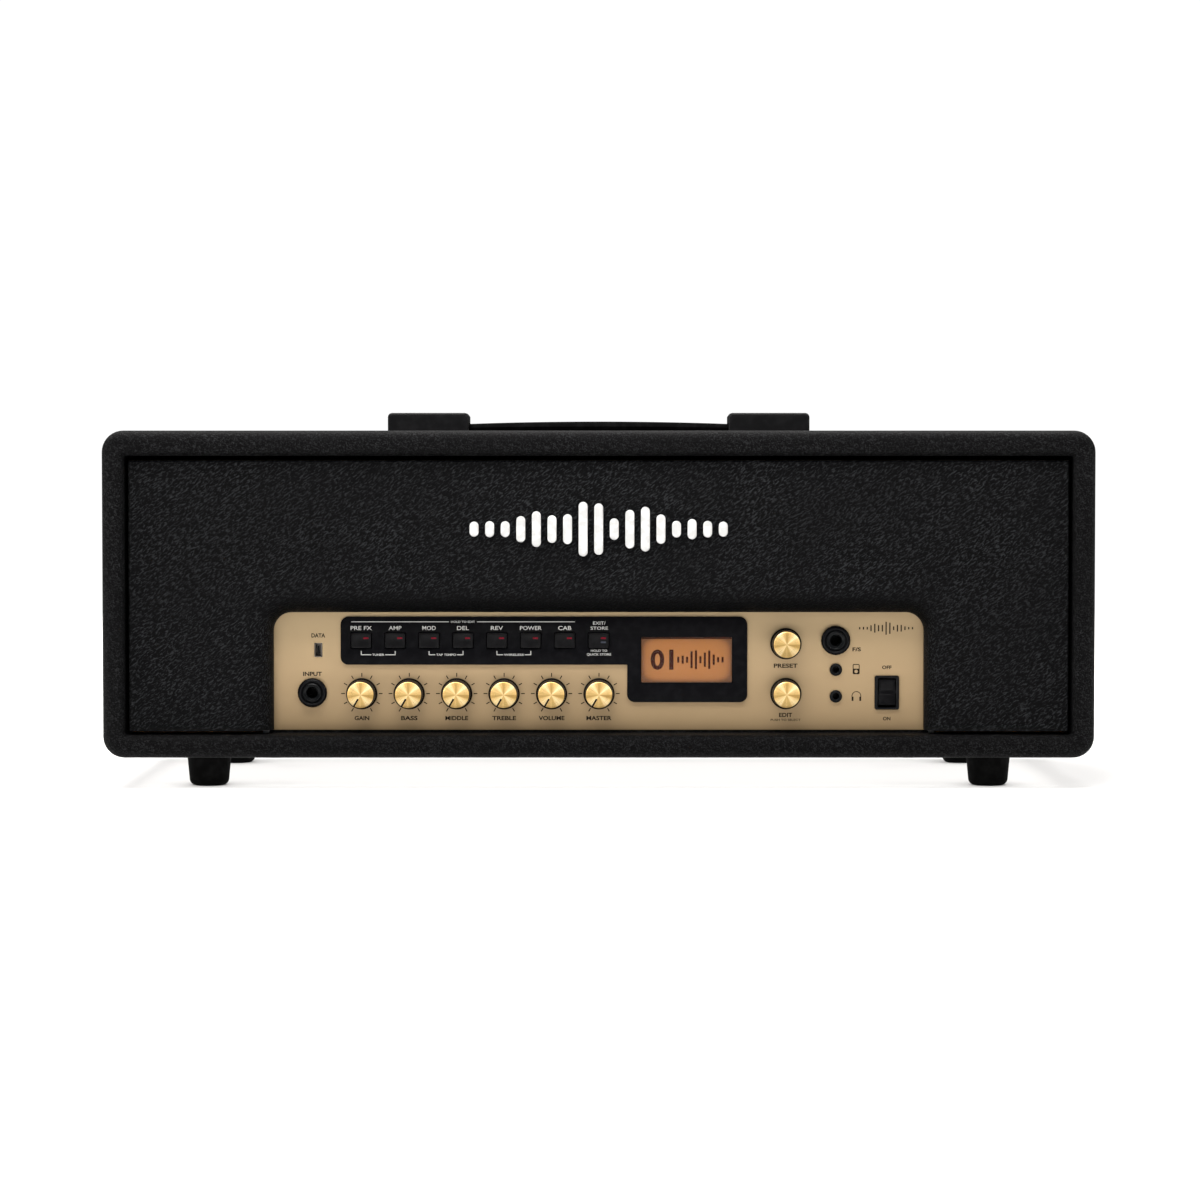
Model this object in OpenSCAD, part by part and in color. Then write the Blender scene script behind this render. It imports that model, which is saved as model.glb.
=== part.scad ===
// Compact guitar amplifier head: a vinyl-covered plywood sleeve on rubber feet, with a recessed
// metal control panel, push buttons, knobs and sockets, a strap handle, and the electronics on a
// steel tray behind the panel. +X is right as seen from the front, -Y is the front, +Z is up.
// The origin is on the surface that the feet stand on, under the middle of the cabinet.
// All sizes are in millimetres.

/* [Cabinet] */
// Outside width of the cabinet
cabinet_w = 600; // [590:1:640]
// Outside depth of the cabinet
cabinet_d = 246; // [246:1:280]
// Height of the cabinet between feet and handle
cabinet_h = 198; // [196:1:220]
// Radius of the long outer edges of the sleeve
corner_r = 13; // [8:1:16]
// Radius that rounds the front and rear edges of the sleeve
nose_r = 6; // [3:0.5:6.5]
// Thickness of the covering on each board
vinyl_t = 0.75; // [0.5:0.05:1]
// Width of the side frame, covering included
side_w = 13.5; // [13:0.5:16]
// Height of the top frame, covering included
top_w = 15.2; // [13:0.1:18]
// Height of the bottom frame, covering included
bottom_w = 14; // [12:0.1:16]

/* [Feet and handle] */
// Height of a rubber foot
foot_h = 19; // [18:0.5:22]
// Radius of a foot where it meets the cabinet
foot_r = 14.2; // [12:0.1:17]
// Distance of the feet from the middle, sideways
foot_x = 239; // [220:1:250]
// Distance of the feet from the middle, front to back
foot_y = 85; // [70:1:95]
// Height of the handle's end caps
cap_h = 12; // [11:0.5:14]
// Length of each end cap
cap_l = 51; // [45:1:55]
// Width of the end caps, front to back
cap_w = 34; // [32:1:40]
// Distance from the middle to the near end of each cap
cap_x = 82; // [70:1:85]
// Width of the strap
strap_w = 25; // [22:1:28]
// Thickness of the strap
strap_t = 5; // [4:0.1:5.2]
// How far the middle of the strap bows up at rest
strap_bow = 1.5; // [0.5:0.1:3]

/* [Front] */
// How far the baffle lies behind the front edge
baffle_recess = 6.75; // [5:0.25:8]
// Thickness of the baffle board
baffle_t = 18; // [17:0.5:20]
// Free strip between the baffle and the sleeve
baffle_gap = 2.2; // [1.5:0.1:4]
// Width of the opening for the control panel
opening_w = 396.2; // [394:0.1:404]
// Height of the top of that opening
opening_z = 106.7; // [106:0.1:110]
// Radius of the opening's top corners
opening_r = 11.4; // [8:0.1:14]
// Radius that rolls the baffle into the opening
tunnel_r = 14.5; // [10:0.5:16]
// Height of the lower edge of the control panel
panel_z = 34.7; // [34:0.1:36]

/* [Controls] */
// Radius of a knob's skirt
skirt_r = 9.55; // [9:0.05:10]
// Height of a knob without its metal cap
knob_h = 13.5; // [12:0.5:14]
// Radius of the metal cap
knob_cap_r = 8; // [7:0.05:8.2]
// Distance between neighbouring pot knobs
knob_pitch = 28.94; // [28:0.02:29]
// Distance between neighbouring buttons
button_pitch = 20.67; // [20:0.01:20.7]
// Width of a button
button_w = 12.2; // [11:0.1:12.4]
// Height of a button
button_h = 9.2; // [8:0.1:9.4]
// Travel of a button
button_travel = 0.8; // [0.5:0.1:0.8]

/* [Rear] */
// How far the rear panel lies inside the rear edge
rear_recess = 28; // [26:1:32]
// Number of ventilation slots in each group
vent_count = 8; // [4:1:8]

/* [Hidden] */
$fn = 48;
half_w = cabinet_w / 2;
y_front = -cabinet_d / 2;
y_back = cabinet_d / 2;
z_low = foot_h;
z_top = foot_h + cabinet_h;
in_w = half_w - side_w;
in_z0 = z_low + bottom_w;
in_z1 = z_top - top_w;
glue = 0.1;
fit = 0.05;

// Depths of the front assembly, from the baffle's face to the control board
y_baffle = y_front + baffle_recess;
baffle_back = y_baffle + vinyl_t + baffle_t;
baffle_w = 2 * (in_w - baffle_gap);
baffle_z0 = in_z0 + 2.2;
baffle_z1 = in_z1 - 2.7;
panel_y = baffle_back + 0.3;
panel_t = 1.5;
tray_t = 1.2;
flange_y = panel_y + panel_t;
flange_back = flange_y + tray_t;
pot_depth = 8.5;
board_y = flange_back + pot_depth;
board_t = 1.6;
bezel_t = 2;
opening_half = opening_w / 2;
panel_half = opening_half + 3;
panel_top = opening_z + 2.5;

// Places of the controls on the panel
knob_x0 = -144.5;
knob_z = 56.8;
knob_xs = [for (i = [0:5]) knob_x0 + i * knob_pitch];
preset_at = [114.1, 87.3];
edit_at = [114.1, 56.9];
control_spots = concat([for (x = knob_xs) [x, knob_z]], [preset_at, edit_at]);
button_x0 = -144.7;
button_z = 89.3;
button_xs = [for (i = [0:7]) button_x0 + i * button_pitch];
bezel_x0 = -157.3;
bezel_x1 = 90.6;
bezel_z0 = 51.6;
bezel_z1 = 103.7;
strip_z0 = 74.5;
display_x0 = 17.4;
bezel_r = 4.6;
window_lo = [26, 63.7];
window_hi = [81.2, 91.3];
input_at = [-174.6, 57.4];
footswitch_at = [144.5, 89.3];
aux_at = [144.7, 71.4];
phones_at = [144.7, 55.1];
data_at = [-171, 83.4];
switch_at = [175.8, 57.4];
front_jacks = [input_at, footswitch_at];
small_jacks = [aux_at, phones_at];

// Knobs, shafts and their fits
shaft_r = 3;
shaft_bore = shaft_r + fit;
knob_gap = 0.5;
nut_t = 2;
bush_r = 3.5;
bush_reach = 2.4;
nut_recess_r = 6.2;
nut_recess = 2.5;
shaft_end = 3;
pointer_angle = 210;

// Sockets
jack_r = 3.25;
jack_nose_r = 5.7;
jack_nose = 4.6;
jack_nut_r = 9;
jack_body = [18, 20, 24];
small_jack_r = 1.8;
small_nose_r = 3.8;

// Rear panel and what it carries
rear_t = 1.5;
rear_y1 = y_back - rear_recess;
rear_y0 = rear_y1 - rear_t;
rear_half = in_w - 1;
speaker_jacks = [[80, 66], [115, 66]];
inlet_x = 215;
inlet_lo = [199.5, 45];
inlet_hi = [230.5, 93];
drawer_z = 55;
vent_w = 50;
vent_h = 3.2;
vent_pitch = 8;

// Cleats inside the sleeve
cleat_w = 15;
cleat_x1 = in_w + vinyl_t - glue;
cleat_x0 = cleat_x1 - cleat_w;
cleat_mid = (cleat_x0 + cleat_x1) / 2;
cleat_z0 = 40;
cleat_z1 = 188;

// Steel tray and the boards on it
tray_z = in_z0 - vinyl_t + fit;
tray_floor = tray_z + tray_t;
tray_half = 205;
tray_back = 60;
standoff_h = 8;
main_lo = [-195, -66];
main_hi = [-5, 8];
power_lo = [5, -66];
power_hi = [75, 50];
toroid_at = [130, 5];
toroid_r = 45;
chassis_bolts = [for (x = [-199, 190], y = [-75, 50]) [x, y]];

vinyl_black = [0.09, 0.09, 0.1];
grille_black = [0.12, 0.12, 0.13];
panel_gold = [0.74, 0.64, 0.48];
cap_gold = [0.88, 0.74, 0.43];
plastic_black = [0.06, 0.06, 0.07];
steel = [0.62, 0.63, 0.65];
plywood = [0.76, 0.62, 0.43];
board_green = [0.1, 0.35, 0.2];
ivory = [0.93, 0.93, 0.9];

// ---- Helpers ----

// A block given by its lowest and highest corners
module span(lo, hi) {
    translate(lo) cube(hi - lo);
}

// A cylinder along Y
module rod_y(at, r, y0, y1) {
    translate([at.x, y0, at.y]) rotate([-90, 0, 0]) cylinder(h = y1 - y0, r = r);
}

// A cylinder along Z
module rod_z(at, r, z0, z1) {
    translate([at.x, at.y, z0]) cylinder(h = z1 - z0, r = r);
}

// A flat outline in X and Z, given thickness from y0 to y1
module plate_y(y0, y1) {
    translate([0, y1, 0]) rotate([90, 0, 0]) linear_extrude(y1 - y0) children();
}

// A rectangle with round corners
module rounded_rect(lo, hi, r) {
    translate([lo.x + r, lo.y]) square([hi.x - lo.x - 2 * r, hi.y - lo.y]);
    translate([lo.x, lo.y + r]) square([hi.x - lo.x, hi.y - lo.y - 2 * r]);
    for (x = [lo.x + r, hi.x - r], y = [lo.y + r, hi.y - r])
        translate([x, y]) circle(r);
}

// A rectangle centred on a spot of the panel
module centred_rect(at, w, h) {
    translate([at.x - w / 2, at.y - h / 2]) square([w, h]);
}

// Moves a form whose +Z points out of a panel to a spot on the front panel
module on_front(at) {
    translate([at.x, panel_y, at.y]) rotate([90, 0, 0]) children();
}

// The same for a spot on the rear panel
module on_rear(at) {
    translate([at.x, rear_y1, at.y]) rotate([-90, 0, 0]) children();
}

// Puts a child at each of the four feet
module at_feet() {
    for (x = [-foot_x, foot_x], y = [-foot_y, foot_y])
        translate([x, y, 0]) children();
}

// ---- Cabinet ----

// The sleeve as one ring with round outer edges, drawn in by inset on every face
module cabinet_form(inset) {
    r = nose_r - inset;
    lo = [-half_w + inset, y_front + inset, z_low + inset];
    hi = [half_w - inset, y_back - inset, z_top - inset];
    difference() {
        intersection() {
            plate_y(lo.y, hi.y) rounded_rect([lo.x, lo.z], [hi.x, hi.z], corner_r - inset);
            translate([0, 0, lo.z])
                linear_extrude(hi.z - lo.z) rounded_rect([lo.x, lo.y], [hi.x, hi.y], r);
            rotate([90, 0, 90]) translate([0, 0, lo.x])
                linear_extrude(hi.x - lo.x) rounded_rect([lo.y, lo.z], [hi.y, hi.z], r);
        }
        span([-in_w - inset, y_front - 1, in_z0 - inset], [in_w + inset, y_back + 1, in_z1 + inset]);
    }
}

// Screw shanks that go down through the cap and the top board, or up through a foot
module handle_shanks(r) {
    for (s = [-1, 1])
        rod_z([s * (cap_x + cap_l - 14), 0], r, z_top - 12, z_top + 7);
}

module foot_shanks(r) {
    at_feet() rod_z([0, 0], r, foot_h - 8, foot_h + 10);
}

module chassis_shanks(r) {
    for (at = chassis_bolts)
        rod_z(at, r, z_low - 1, tray_floor + 6.5);
}

// Screws along the rear panel's two sides and through the cleats into the baffle
module cleat_rods(r, y0, y1, zs) {
    for (s = [-1, 1], z = zs)
        rod_y([s * cleat_mid, z], r, y0, y1);
}

rear_screw_zs = [for (i = [0:3]) 50 + i * 44];
baffle_screw_zs = [60, 112, 168];

// Four glued boards and the cleats that the baffle and the rear panel screw to or close against
module cabinet_carcass() color(plywood) difference() {
    union() {
        difference() {
            cabinet_form(vinyl_t);
            for (s = [-1, 1])
                translate([s * (in_w + vinyl_t + glue / 2) - glue / 2, y_front, z_low])
                    cube([glue, cabinet_d, cabinet_h]);
        }
        for (y = [[baffle_back, baffle_back + cleat_w], [rear_y0 - cleat_w, rear_y0]]) {
            for (s = [-1, 1])
                translate([s * cleat_mid, 0, 0])
                    span([-cleat_w / 2, y[0], cleat_z0], [cleat_w / 2, y[1], cleat_z1]);
            span([-cleat_x1, y[0], cleat_z1 + glue], [cleat_x1, y[1], in_z1 + vinyl_t - glue]);
        }
    }
    handle_shanks(2);
    foot_shanks(2.5);
    chassis_shanks(2.5);
    cleat_rods(1.75, baffle_back - 1, baffle_back + cleat_w + 1, baffle_screw_zs);
    cleat_rods(1.75, rear_y0 - cleat_w - 1, rear_y0 + 1, rear_screw_zs);
}

// The covering, which wraps round the board edges and lines both mouths of the sleeve
module vinyl_covering() color(vinyl_black) difference() {
    cabinet_form(0);
    cabinet_form(vinyl_t);
    span([-in_w - vinyl_t, baffle_back, in_z0 - vinyl_t], [in_w + vinyl_t, rear_y0, in_z1 + vinyl_t]);
    handle_shanks(2);
    foot_shanks(2.5);
    chassis_shanks(2.5);
}

// The outline of the baffle's opening, open at the bottom
module opening_outline(inset) {
    rounded_rect([-opening_half - inset, baffle_z0 - 40], [opening_half + inset, opening_z + inset],
        opening_r + inset);
}

// What the rolled edge removes: x runs out from the opening's wall, y runs in from the face
module roll_profile(inset) {
    difference() {
        translate([-1, -1]) square(tunnel_r + 1);
        translate([tunnel_r, tunnel_r]) circle(tunnel_r - inset);
    }
}

// The baffle with its rolled opening, drawn in by inset on every face but the rear one
module baffle_form(inset) {
    z_arc = opening_z - opening_r;
    x_arc = opening_half - opening_r;
    difference() {
        span([-baffle_w / 2 + inset, y_baffle + inset, baffle_z0 + inset],
            [baffle_w / 2 - inset, baffle_back, baffle_z1 - inset]);
        plate_y(y_baffle - 1, baffle_back + 1) opening_outline(inset);
        for (m = [0, 1]) mirror([m, 0, 0]) {
            translate([opening_half, y_baffle, baffle_z0 - 1])
                linear_extrude(z_arc - baffle_z0 + 1) roll_profile(inset);
            translate([x_arc, y_baffle, z_arc]) rotate([-90, -90, 0])
                rotate_extrude(angle = 90) translate([opening_r, 0]) roll_profile(inset);
        }
        translate([x_arc, y_baffle, opening_z]) rotate([0, -90, 0])
            linear_extrude(2 * x_arc) roll_profile(inset);
    }
}

module baffle_board() color(plywood) difference() {
    baffle_form(vinyl_t);
    cleat_rods(1.75, baffle_back - 10, baffle_back + 1, baffle_screw_zs);
}

module baffle_covering() color(grille_black) difference() {
    baffle_form(0);
    baffle_form(vinyl_t);
}

// A badge of upright bars with round ends, whose lengths follow a wave
badge_bars = 17;
badge_z = 157.5;
badge_t = 3;
badge_bar_w = 5.4;
badge_pitch = 9.4;

function badge_bar(i) = 9 + 26 * pow(sin(i * 180 / (badge_bars - 1)), 2) * abs(cos(i * 49));

module badge() color(ivory) plate_y(y_baffle - badge_t, y_baffle)
    for (i = [0:badge_bars - 1]) {
        x = (i - (badge_bars - 1) / 2) * badge_pitch;
        l = badge_bar(i);
        rounded_rect([x - badge_bar_w / 2, badge_z - l / 2], [x + badge_bar_w / 2, badge_z + l / 2],
            badge_bar_w / 2 - 0.01);
    }

// ---- Feet, screws and handle ----

foot_edge = 4;
foot_taper = 2.1;
washer_r = 6;

// Tapered feet with a round lower edge and a well for the screw's head
module rubber_feet() color(plastic_black) at_feet() rotate_extrude() {
    low_r = foot_r - foot_taper;
    edge = [for (a = [-90:15:0]) [low_r - foot_edge + foot_edge * cos(a), foot_edge + foot_edge * sin(a)]];
    polygon(concat([[washer_r + 1, 0]], edge,
        [[foot_r, foot_h], [2.5, foot_h], [2.5, 8], [washer_r + 1, 8]]));
}

// Screws that hold the feet, the handle caps, the rear panel and the baffle
module wood_screws() color(steel) {
    foot_shanks(2.5);
    at_feet() rod_z([0, 0], washer_r, 5, 8);
    handle_shanks(2);
    for (s = [-1, 1])
        rod_z([s * (cap_x + cap_l - 14), 0], 3.4, z_top + 7, z_top + 9);
    cleat_rods(1.75, rear_y0 - 14, rear_y1, rear_screw_zs);
    cleat_rods(3.6, rear_y1, rear_y1 + 2.2, rear_screw_zs);
    cleat_rods(1.75, baffle_back - 10, baffle_back + cleat_w, baffle_screw_zs);
    cleat_rods(3.6, baffle_back + cleat_w, baffle_back + cleat_w + 2.2, baffle_screw_zs);
}

strap_reach = cap_x + cap_l - 4.5;
strap_room = 0.6;

// The handle's end caps: a shell with a round nose, a mouth for the strap and a screw boss
module handle_caps() color(plastic_black) for (m = [0, 1]) mirror([m, 0, 0]) {
    x0 = cap_x;
    x1 = cap_x + cap_l;
    boss_x = x1 - 14;
    difference() {
        rotate([90, 0, 0]) translate([0, 0, -cap_w / 2]) linear_extrude(cap_w)
            polygon(concat([[x0, z_top], [x0, z_top + cap_h - 3], [x0 + 3, z_top + cap_h]],
                [for (a = [90:-15:0]) [x1 - 4 + 4 * cos(a), z_top + cap_h - 4 + 4 * sin(a)]],
                [[x1, z_top]]));
        difference() {
            span([x0 - 1, -strap_w / 2 - strap_room, z_top - 1],
                [strap_reach + 2, strap_w / 2 + strap_room, z_top + strap_t + 0.8]);
            rod_z([boss_x, 0], 3.6, z_top - 1, z_top + strap_t + 1);
        }
        rod_z([boss_x, 0], 2, z_top - 1, z_top + 7.5);
        rod_z([boss_x, 0], 3.45, z_top + 7, z_top + cap_h + 1);
    }
}

core_l = 60;
core_w = 14;
core_t = 1.2;

// Side outline of the strap: flat ends in the caps and a low bow between them
module strap_outline() {
    n = 12;
    low = [for (i = [0:n]) let (x = -cap_x + 2 * cap_x * i / n)
        [x, z_top + 0.1 + strap_bow * (1 - pow(x / cap_x, 2))]];
    high = [for (i = [n:-1:0]) [low[i].x, low[i].y + strap_t]];
    polygon(concat([[-strap_reach, z_top + 0.1]], low, [[strap_reach, z_top + 0.1]],
        [[strap_reach, z_top + 0.1 + strap_t]], high, [[-strap_reach, z_top + 0.1 + strap_t]]));
}

// The moulded strap, with a slot at each end that slides along the cap's boss
module handle_strap() color(plastic_black) difference() {
    rotate([90, 0, 0]) translate([0, 0, -strap_w / 2]) linear_extrude(strap_w) strap_outline();
    for (s = [-1, 1])
        span([s * (cap_x + cap_l - 14) - (s > 0 ? 4.2 : 9), -4.2, z_top - 1],
            [s * (cap_x + cap_l - 14) + (s > 0 ? 9 : 4.2), 4.2, z_top + 9]);
    strap_core();
}

// The spring steel strip moulded into the grip
module strap_core() color(steel) {
    z = z_top + 0.1 + strap_bow + strap_t / 2 - core_t / 2 - 0.15;
    span([-core_l / 2, -core_w / 2, z], [core_l / 2, core_w / 2, z + core_t]);
}

// ---- Tray, panel and display ----

// Openings in the panel and in the tray's flange behind it
module panel_cutouts(room) {
    for (at = control_spots) translate(at) circle(bush_r + fit);
    for (at = front_jacks) translate(at) circle(jack_nose_r + fit);
    for (at = small_jacks) translate(at) circle(small_nose_r + fit);
    for (x = button_xs) centred_rect([x, button_z], button_w + room, button_h + room);
    centred_rect(data_at, 5, 8.7);
    centred_rect(switch_at, 13, 19.6);
    translate(window_lo - [1, 1]) square(window_hi - window_lo + [2, 2]);
}

// Corners of the two boards, where the standoffs are
function board_corners(lo, hi) = [for (x = [lo.x + 6, hi.x - 6], y = [lo.y + 6, hi.y - 6]) [x, y]];
standoffs = concat(board_corners(main_lo, main_hi), board_corners(power_lo, power_hi));

module chassis_tray() color(steel) difference() {
    union() {
        span([-tray_half, flange_y, tray_z], [tray_half, tray_back, tray_floor]);
        plate_y(flange_y, flange_back)
            translate([-tray_half, tray_z]) square([2 * tray_half, panel_top - tray_z]);
        for (s = [-1, 1])
            translate([s * (tray_half - tray_t / 2), 0, 0])
                span([-tray_t / 2, flange_y, tray_z], [tray_t / 2, tray_back, tray_z + 30]);
        span([-tray_half, tray_back - tray_t, tray_z], [tray_half, tray_back, tray_z + 30]);
        for (at = standoffs) rod_z(at, 3.5, tray_z, tray_floor + standoff_h);
    }
    plate_y(flange_y - 1, flange_back + 1) panel_cutouts(0.8);
    for (at = standoffs) rod_z(at, 1.5, tray_z - 1, tray_floor + standoff_h + 1);
    for (at = chassis_bolts) rod_z(at, 2.5, tray_z - 1, tray_floor + 1);
    rod_z(toroid_at, 3, tray_z - 1, tray_floor + 1);
}

// Bolts with nuts that hold the tray down, the boards' screws and the transformer's bolt
module machine_screws() color(steel) {
    chassis_shanks(2.5);
    for (at = chassis_bolts) {
        rod_z(at, 5, z_low - 3, z_low);
        difference() {
            rod_z(at, 4.5, tray_floor, tray_floor + 4);
            rod_z(at, 2.5 + fit, tray_floor - 1, tray_floor + 5);
        }
    }
    for (at = standoffs) {
        rod_z(at, 1.5, tray_floor + 1, tray_floor + standoff_h + board_t);
        rod_z(at, 2.8, tray_floor + standoff_h + board_t, tray_floor + standoff_h + board_t + 2);
    }
    rod_z(toroid_at, 3, tray_floor - tray_t, tray_floor + 48);
    rod_z(toroid_at, 5.5, tray_floor + 48, tray_floor + 52);
}

module control_panel() color(panel_gold) plate_y(panel_y, flange_y) difference() {
    translate([-panel_half, panel_z]) square([2 * panel_half, panel_top - panel_z]);
    panel_cutouts(0.8);
}

// The black fascia round the buttons and the display
module button_bezel() color(plastic_black) plate_y(panel_y - bezel_t, panel_y) difference() {
    union() {
        rounded_rect([bezel_x0, strip_z0], [bezel_x1, bezel_z1], bezel_r);
        rounded_rect([display_x0, bezel_z0], [bezel_x1, bezel_z1], bezel_r);
    }
    for (x = button_xs) centred_rect([x, button_z], button_w + 0.5, button_h + 0.5);
    translate(window_lo) square(window_hi - window_lo);
}

window_in = 0.15;

module display_window() color([0.72, 0.5, 0.3, 0.6]) plate_y(panel_y - bezel_t + 0.3, panel_y - 0.3)
    translate(window_lo + [window_in, window_in]) square(window_hi - window_lo - 2 * [window_in, window_in]);

// The display's glass behind the window and the case behind that
module display_module() color(board_green) {
    plate_y(panel_y, flange_back)
        translate(window_lo - [0.5, 0.5]) square(window_hi - window_lo + [1, 1]);
    plate_y(flange_back, board_y)
        translate(window_lo - [4, 4]) square(window_hi - window_lo + [8, 8]);
}

// ---- Electronics ----

module control_board() color(board_green) plate_y(board_y, board_y + board_t)
    translate([-158, 40]) square([286, 64]);

// A board on standoffs, with holes for its screws
module tray_board(lo, hi) {
    z = tray_floor + standoff_h;
    difference() {
        span([lo.x, lo.y, z], [hi.x, hi.y, z + board_t]);
        for (at = board_corners(lo, hi)) rod_z(at, 1.5, z - 1, z + board_t + 1);
    }
}

// Processor board: chips, a connector row and coils
module main_board() color(board_green) {
    z = tray_floor + standoff_h + board_t;
    tray_board(main_lo, main_hi);
    for (x = [-160, -110, -60]) span([x, -40, z], [x + 20, -20, z + 1.6]);
    for (i = [0:5]) span([-180 + i * 28, -62, z], [-164 + i * 28, -56, z + 8]);
    for (x = [-150, -90, -30]) rod_z([x, -8], 7, z, z + 9);
}

// Supply board: reservoir capacitors, a choke and a relay
module power_board() color(board_green) {
    z = tray_floor + standoff_h + board_t;
    tray_board(power_lo, power_hi);
    for (y = [-42, -12]) rod_z([26, y], 12.5, z, z + 42);
    for (i = [0:3]) rod_z([56, -48 + i * 14], 5, z, z + 18);
    span([46, 14, z], [66, 34, z + 16]);
    span([14, 12, z], [32, 36, z + 12]);
}

// A toroid with a pressed cover plate
module transformer() color([0.75, 0.6, 0.2]) {
    translate([toroid_at.x, toroid_at.y, tray_floor]) rotate_extrude() difference() {
        rounded_rect([14, 0.5], [toroid_r, 44.5], 8);
    }
    difference() {
        rod_z(toroid_at, 30, tray_floor + 44.5, tray_floor + 46);
        rod_z(toroid_at, 3, tray_floor + 44, tray_floor + 47);
    }
    difference() {
        rod_z(toroid_at, 12, tray_floor + 46, tray_floor + 48);
        rod_z(toroid_at, 3, tray_floor + 45, tray_floor + 49);
    }
}

// A finned extrusion behind the processor board
module heatsink() color("silver") {
    span([-150, 22, tray_floor], [-30, 28, tray_floor + 60]);
    for (i = [0:11]) span([-149 + i * 10.6, 27, tray_floor], [-147 + i * 10.6, 54, tray_floor + 60]);
}

// Body and threaded bush of a control, bored for the shaft: local +Z points out of the panel
module control_form(w, bore_depth) {
    back = -panel_t - tray_t;
    difference() {
        union() {
            translate([-w / 2, -w / 2, back - pot_depth]) cube([w, w, pot_depth]);
            translate([0, 0, back - 1]) cylinder(h = bush_reach - back + 1, r = bush_r);
        }
        translate([0, 0, back - bore_depth]) cylinder(h = 30, r = shaft_bore);
    }
}

module potentiometers() color([0.3, 0.32, 0.3])
    for (x = knob_xs) on_front([x, knob_z]) control_form(16, 6.5);

plunger_r = 4.5;
plunger_t = 1.2;
plunger_depth = 5.05;

module encoders() color([0.3, 0.32, 0.3]) {
    on_front(preset_at) control_form(12.5, 6.5);
    on_front(edit_at) difference() {
        control_form(12.5, 4.5);
        translate([0, 0, -panel_t - tray_t - 8]) cylinder(h = 4, r = plunger_r + 0.5);
    }
}

// The slider in the push encoder, which the shaft presses on
module edit_plunger() color(ivory)
    on_front(edit_at) translate([0, 0, -panel_t - tray_t - plunger_depth - plunger_t])
        cylinder(h = plunger_t, r = plunger_r);

module control_nuts() color(steel)
    for (at = control_spots) on_front(at) difference() {
        cylinder(h = nut_t, r = 5.6, $fn = 6);
        translate([0, 0, -1]) cylinder(h = nut_t + 2, r = bush_r + fit);
    }

switch_reach = 4.1;

module tact_switches() color([0.2, 0.2, 0.22])
    for (x = button_xs) {
        plate_y(board_y - 3.4, board_y) centred_rect([x, button_z], 6, 6);
        rod_y([x, button_z], 1.7, board_y - switch_reach, board_y - 3.3);
    }

// ---- Sockets and switch ----

// A quarter-inch jack socket: local z = 0 on the panel's face, wall = the sheet behind it
module jack_form(wall) {
    difference() {
        union() {
            translate([-jack_body.x / 2, -jack_body.y / 2, -wall - jack_body.z]) cube(jack_body);
            translate([0, 0, -wall - 1]) cylinder(h = jack_nose + wall + 1, r = jack_nose_r);
        }
        translate([0, 0, -wall - jack_body.z + 2]) cylinder(h = 60, r = jack_r);
    }
}

module jack_sockets() color(plastic_black) {
    for (at = front_jacks) on_front(at) jack_form(panel_t + tray_t);
    for (at = speaker_jacks) on_rear(at) jack_form(rear_t);
}

module jack_nut() {
    difference() {
        cylinder(h = jack_nose - 0.6, r = jack_nut_r);
        translate([0, 0, -1]) cylinder(h = 10, r = jack_nose_r + fit);
    }
}

module jack_nuts() color(plastic_black) {
    for (at = front_jacks) on_front(at) jack_nut();
    for (at = speaker_jacks) on_rear(at) jack_nut();
}

module small_jacks() color(plastic_black) for (at = small_jacks) on_front(at) {
    back = -panel_t - tray_t;
    difference() {
        union() {
            translate([-5, -6, back - 14]) cube([10, 12, 14]);
            translate([0, 0, back - 1]) cylinder(h = 2.8 - back, r = small_nose_r);
        }
        translate([0, 0, back - 13]) cylinder(h = 40, r = small_jack_r);
    }
}

// A small upright data socket: shell, tongue and the block behind it
module data_port() color(steel) {
    plate_y(panel_y - 0.4, flange_back + 7) difference() {
        centred_rect(data_at, 4.6, 8.3);
        centred_rect(data_at, 3.6, 7.3);
    }
    plate_y(panel_y + 1, flange_back + 8) centred_rect(data_at, 0.8, 4.6);
    plate_y(flange_back + 7, flange_back + 9) centred_rect(data_at, 6, 9.6);
}

rocker_w = 10.2;
rocker_half = 8;
rocker_tilt = 10;
rocker_y = panel_y + 0.4;
rocker_bezel_t = 1.6;
pivot_r = 0.9;

// The switch's frame and body, with a well and two blind holes for the rocker's pins
module switch_housing() color(plastic_black) difference() {
    union() {
        plate_y(panel_y - rocker_bezel_t, panel_y)
            rounded_rect(switch_at - [7.5, 10.4], switch_at + [7.5, 10.4], 1.2);
        plate_y(panel_y - 0.5, panel_y + 15) centred_rect(switch_at, 12.8, 19.4);
    }
    plate_y(panel_y - 5, panel_y + 12) centred_rect(switch_at, 10.8, 17.5);
    translate([switch_at.x - 6.05, rocker_y, switch_at.y]) rotate([0, 90, 0])
        cylinder(h = 12.1, r = pivot_r + fit);
}

// The rocker, drawn level and then tilted so that its upper half is pressed in
module power_rocker() color([0.12, 0.12, 0.13])
    translate([switch_at.x, rocker_y, switch_at.y]) rotate([-rocker_tilt, 0, 0]) {
        rise = rocker_half * tan(rocker_tilt);
        rotate([90, 0, 90]) translate([0, 0, -rocker_w / 2]) linear_extrude(rocker_w)
            polygon([[-1.2, 0], [-1.2 - rise, rocker_half], [2, rocker_half], [5.5, 3], [5.5, -3],
                [2, -rocker_half], [-1.2 - rise, -rocker_half]]);
        translate([-5.95, 0, 0]) rotate([0, 90, 0]) cylinder(h = 11.9, r = pivot_r);
    }

// ---- Rear ----

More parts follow.
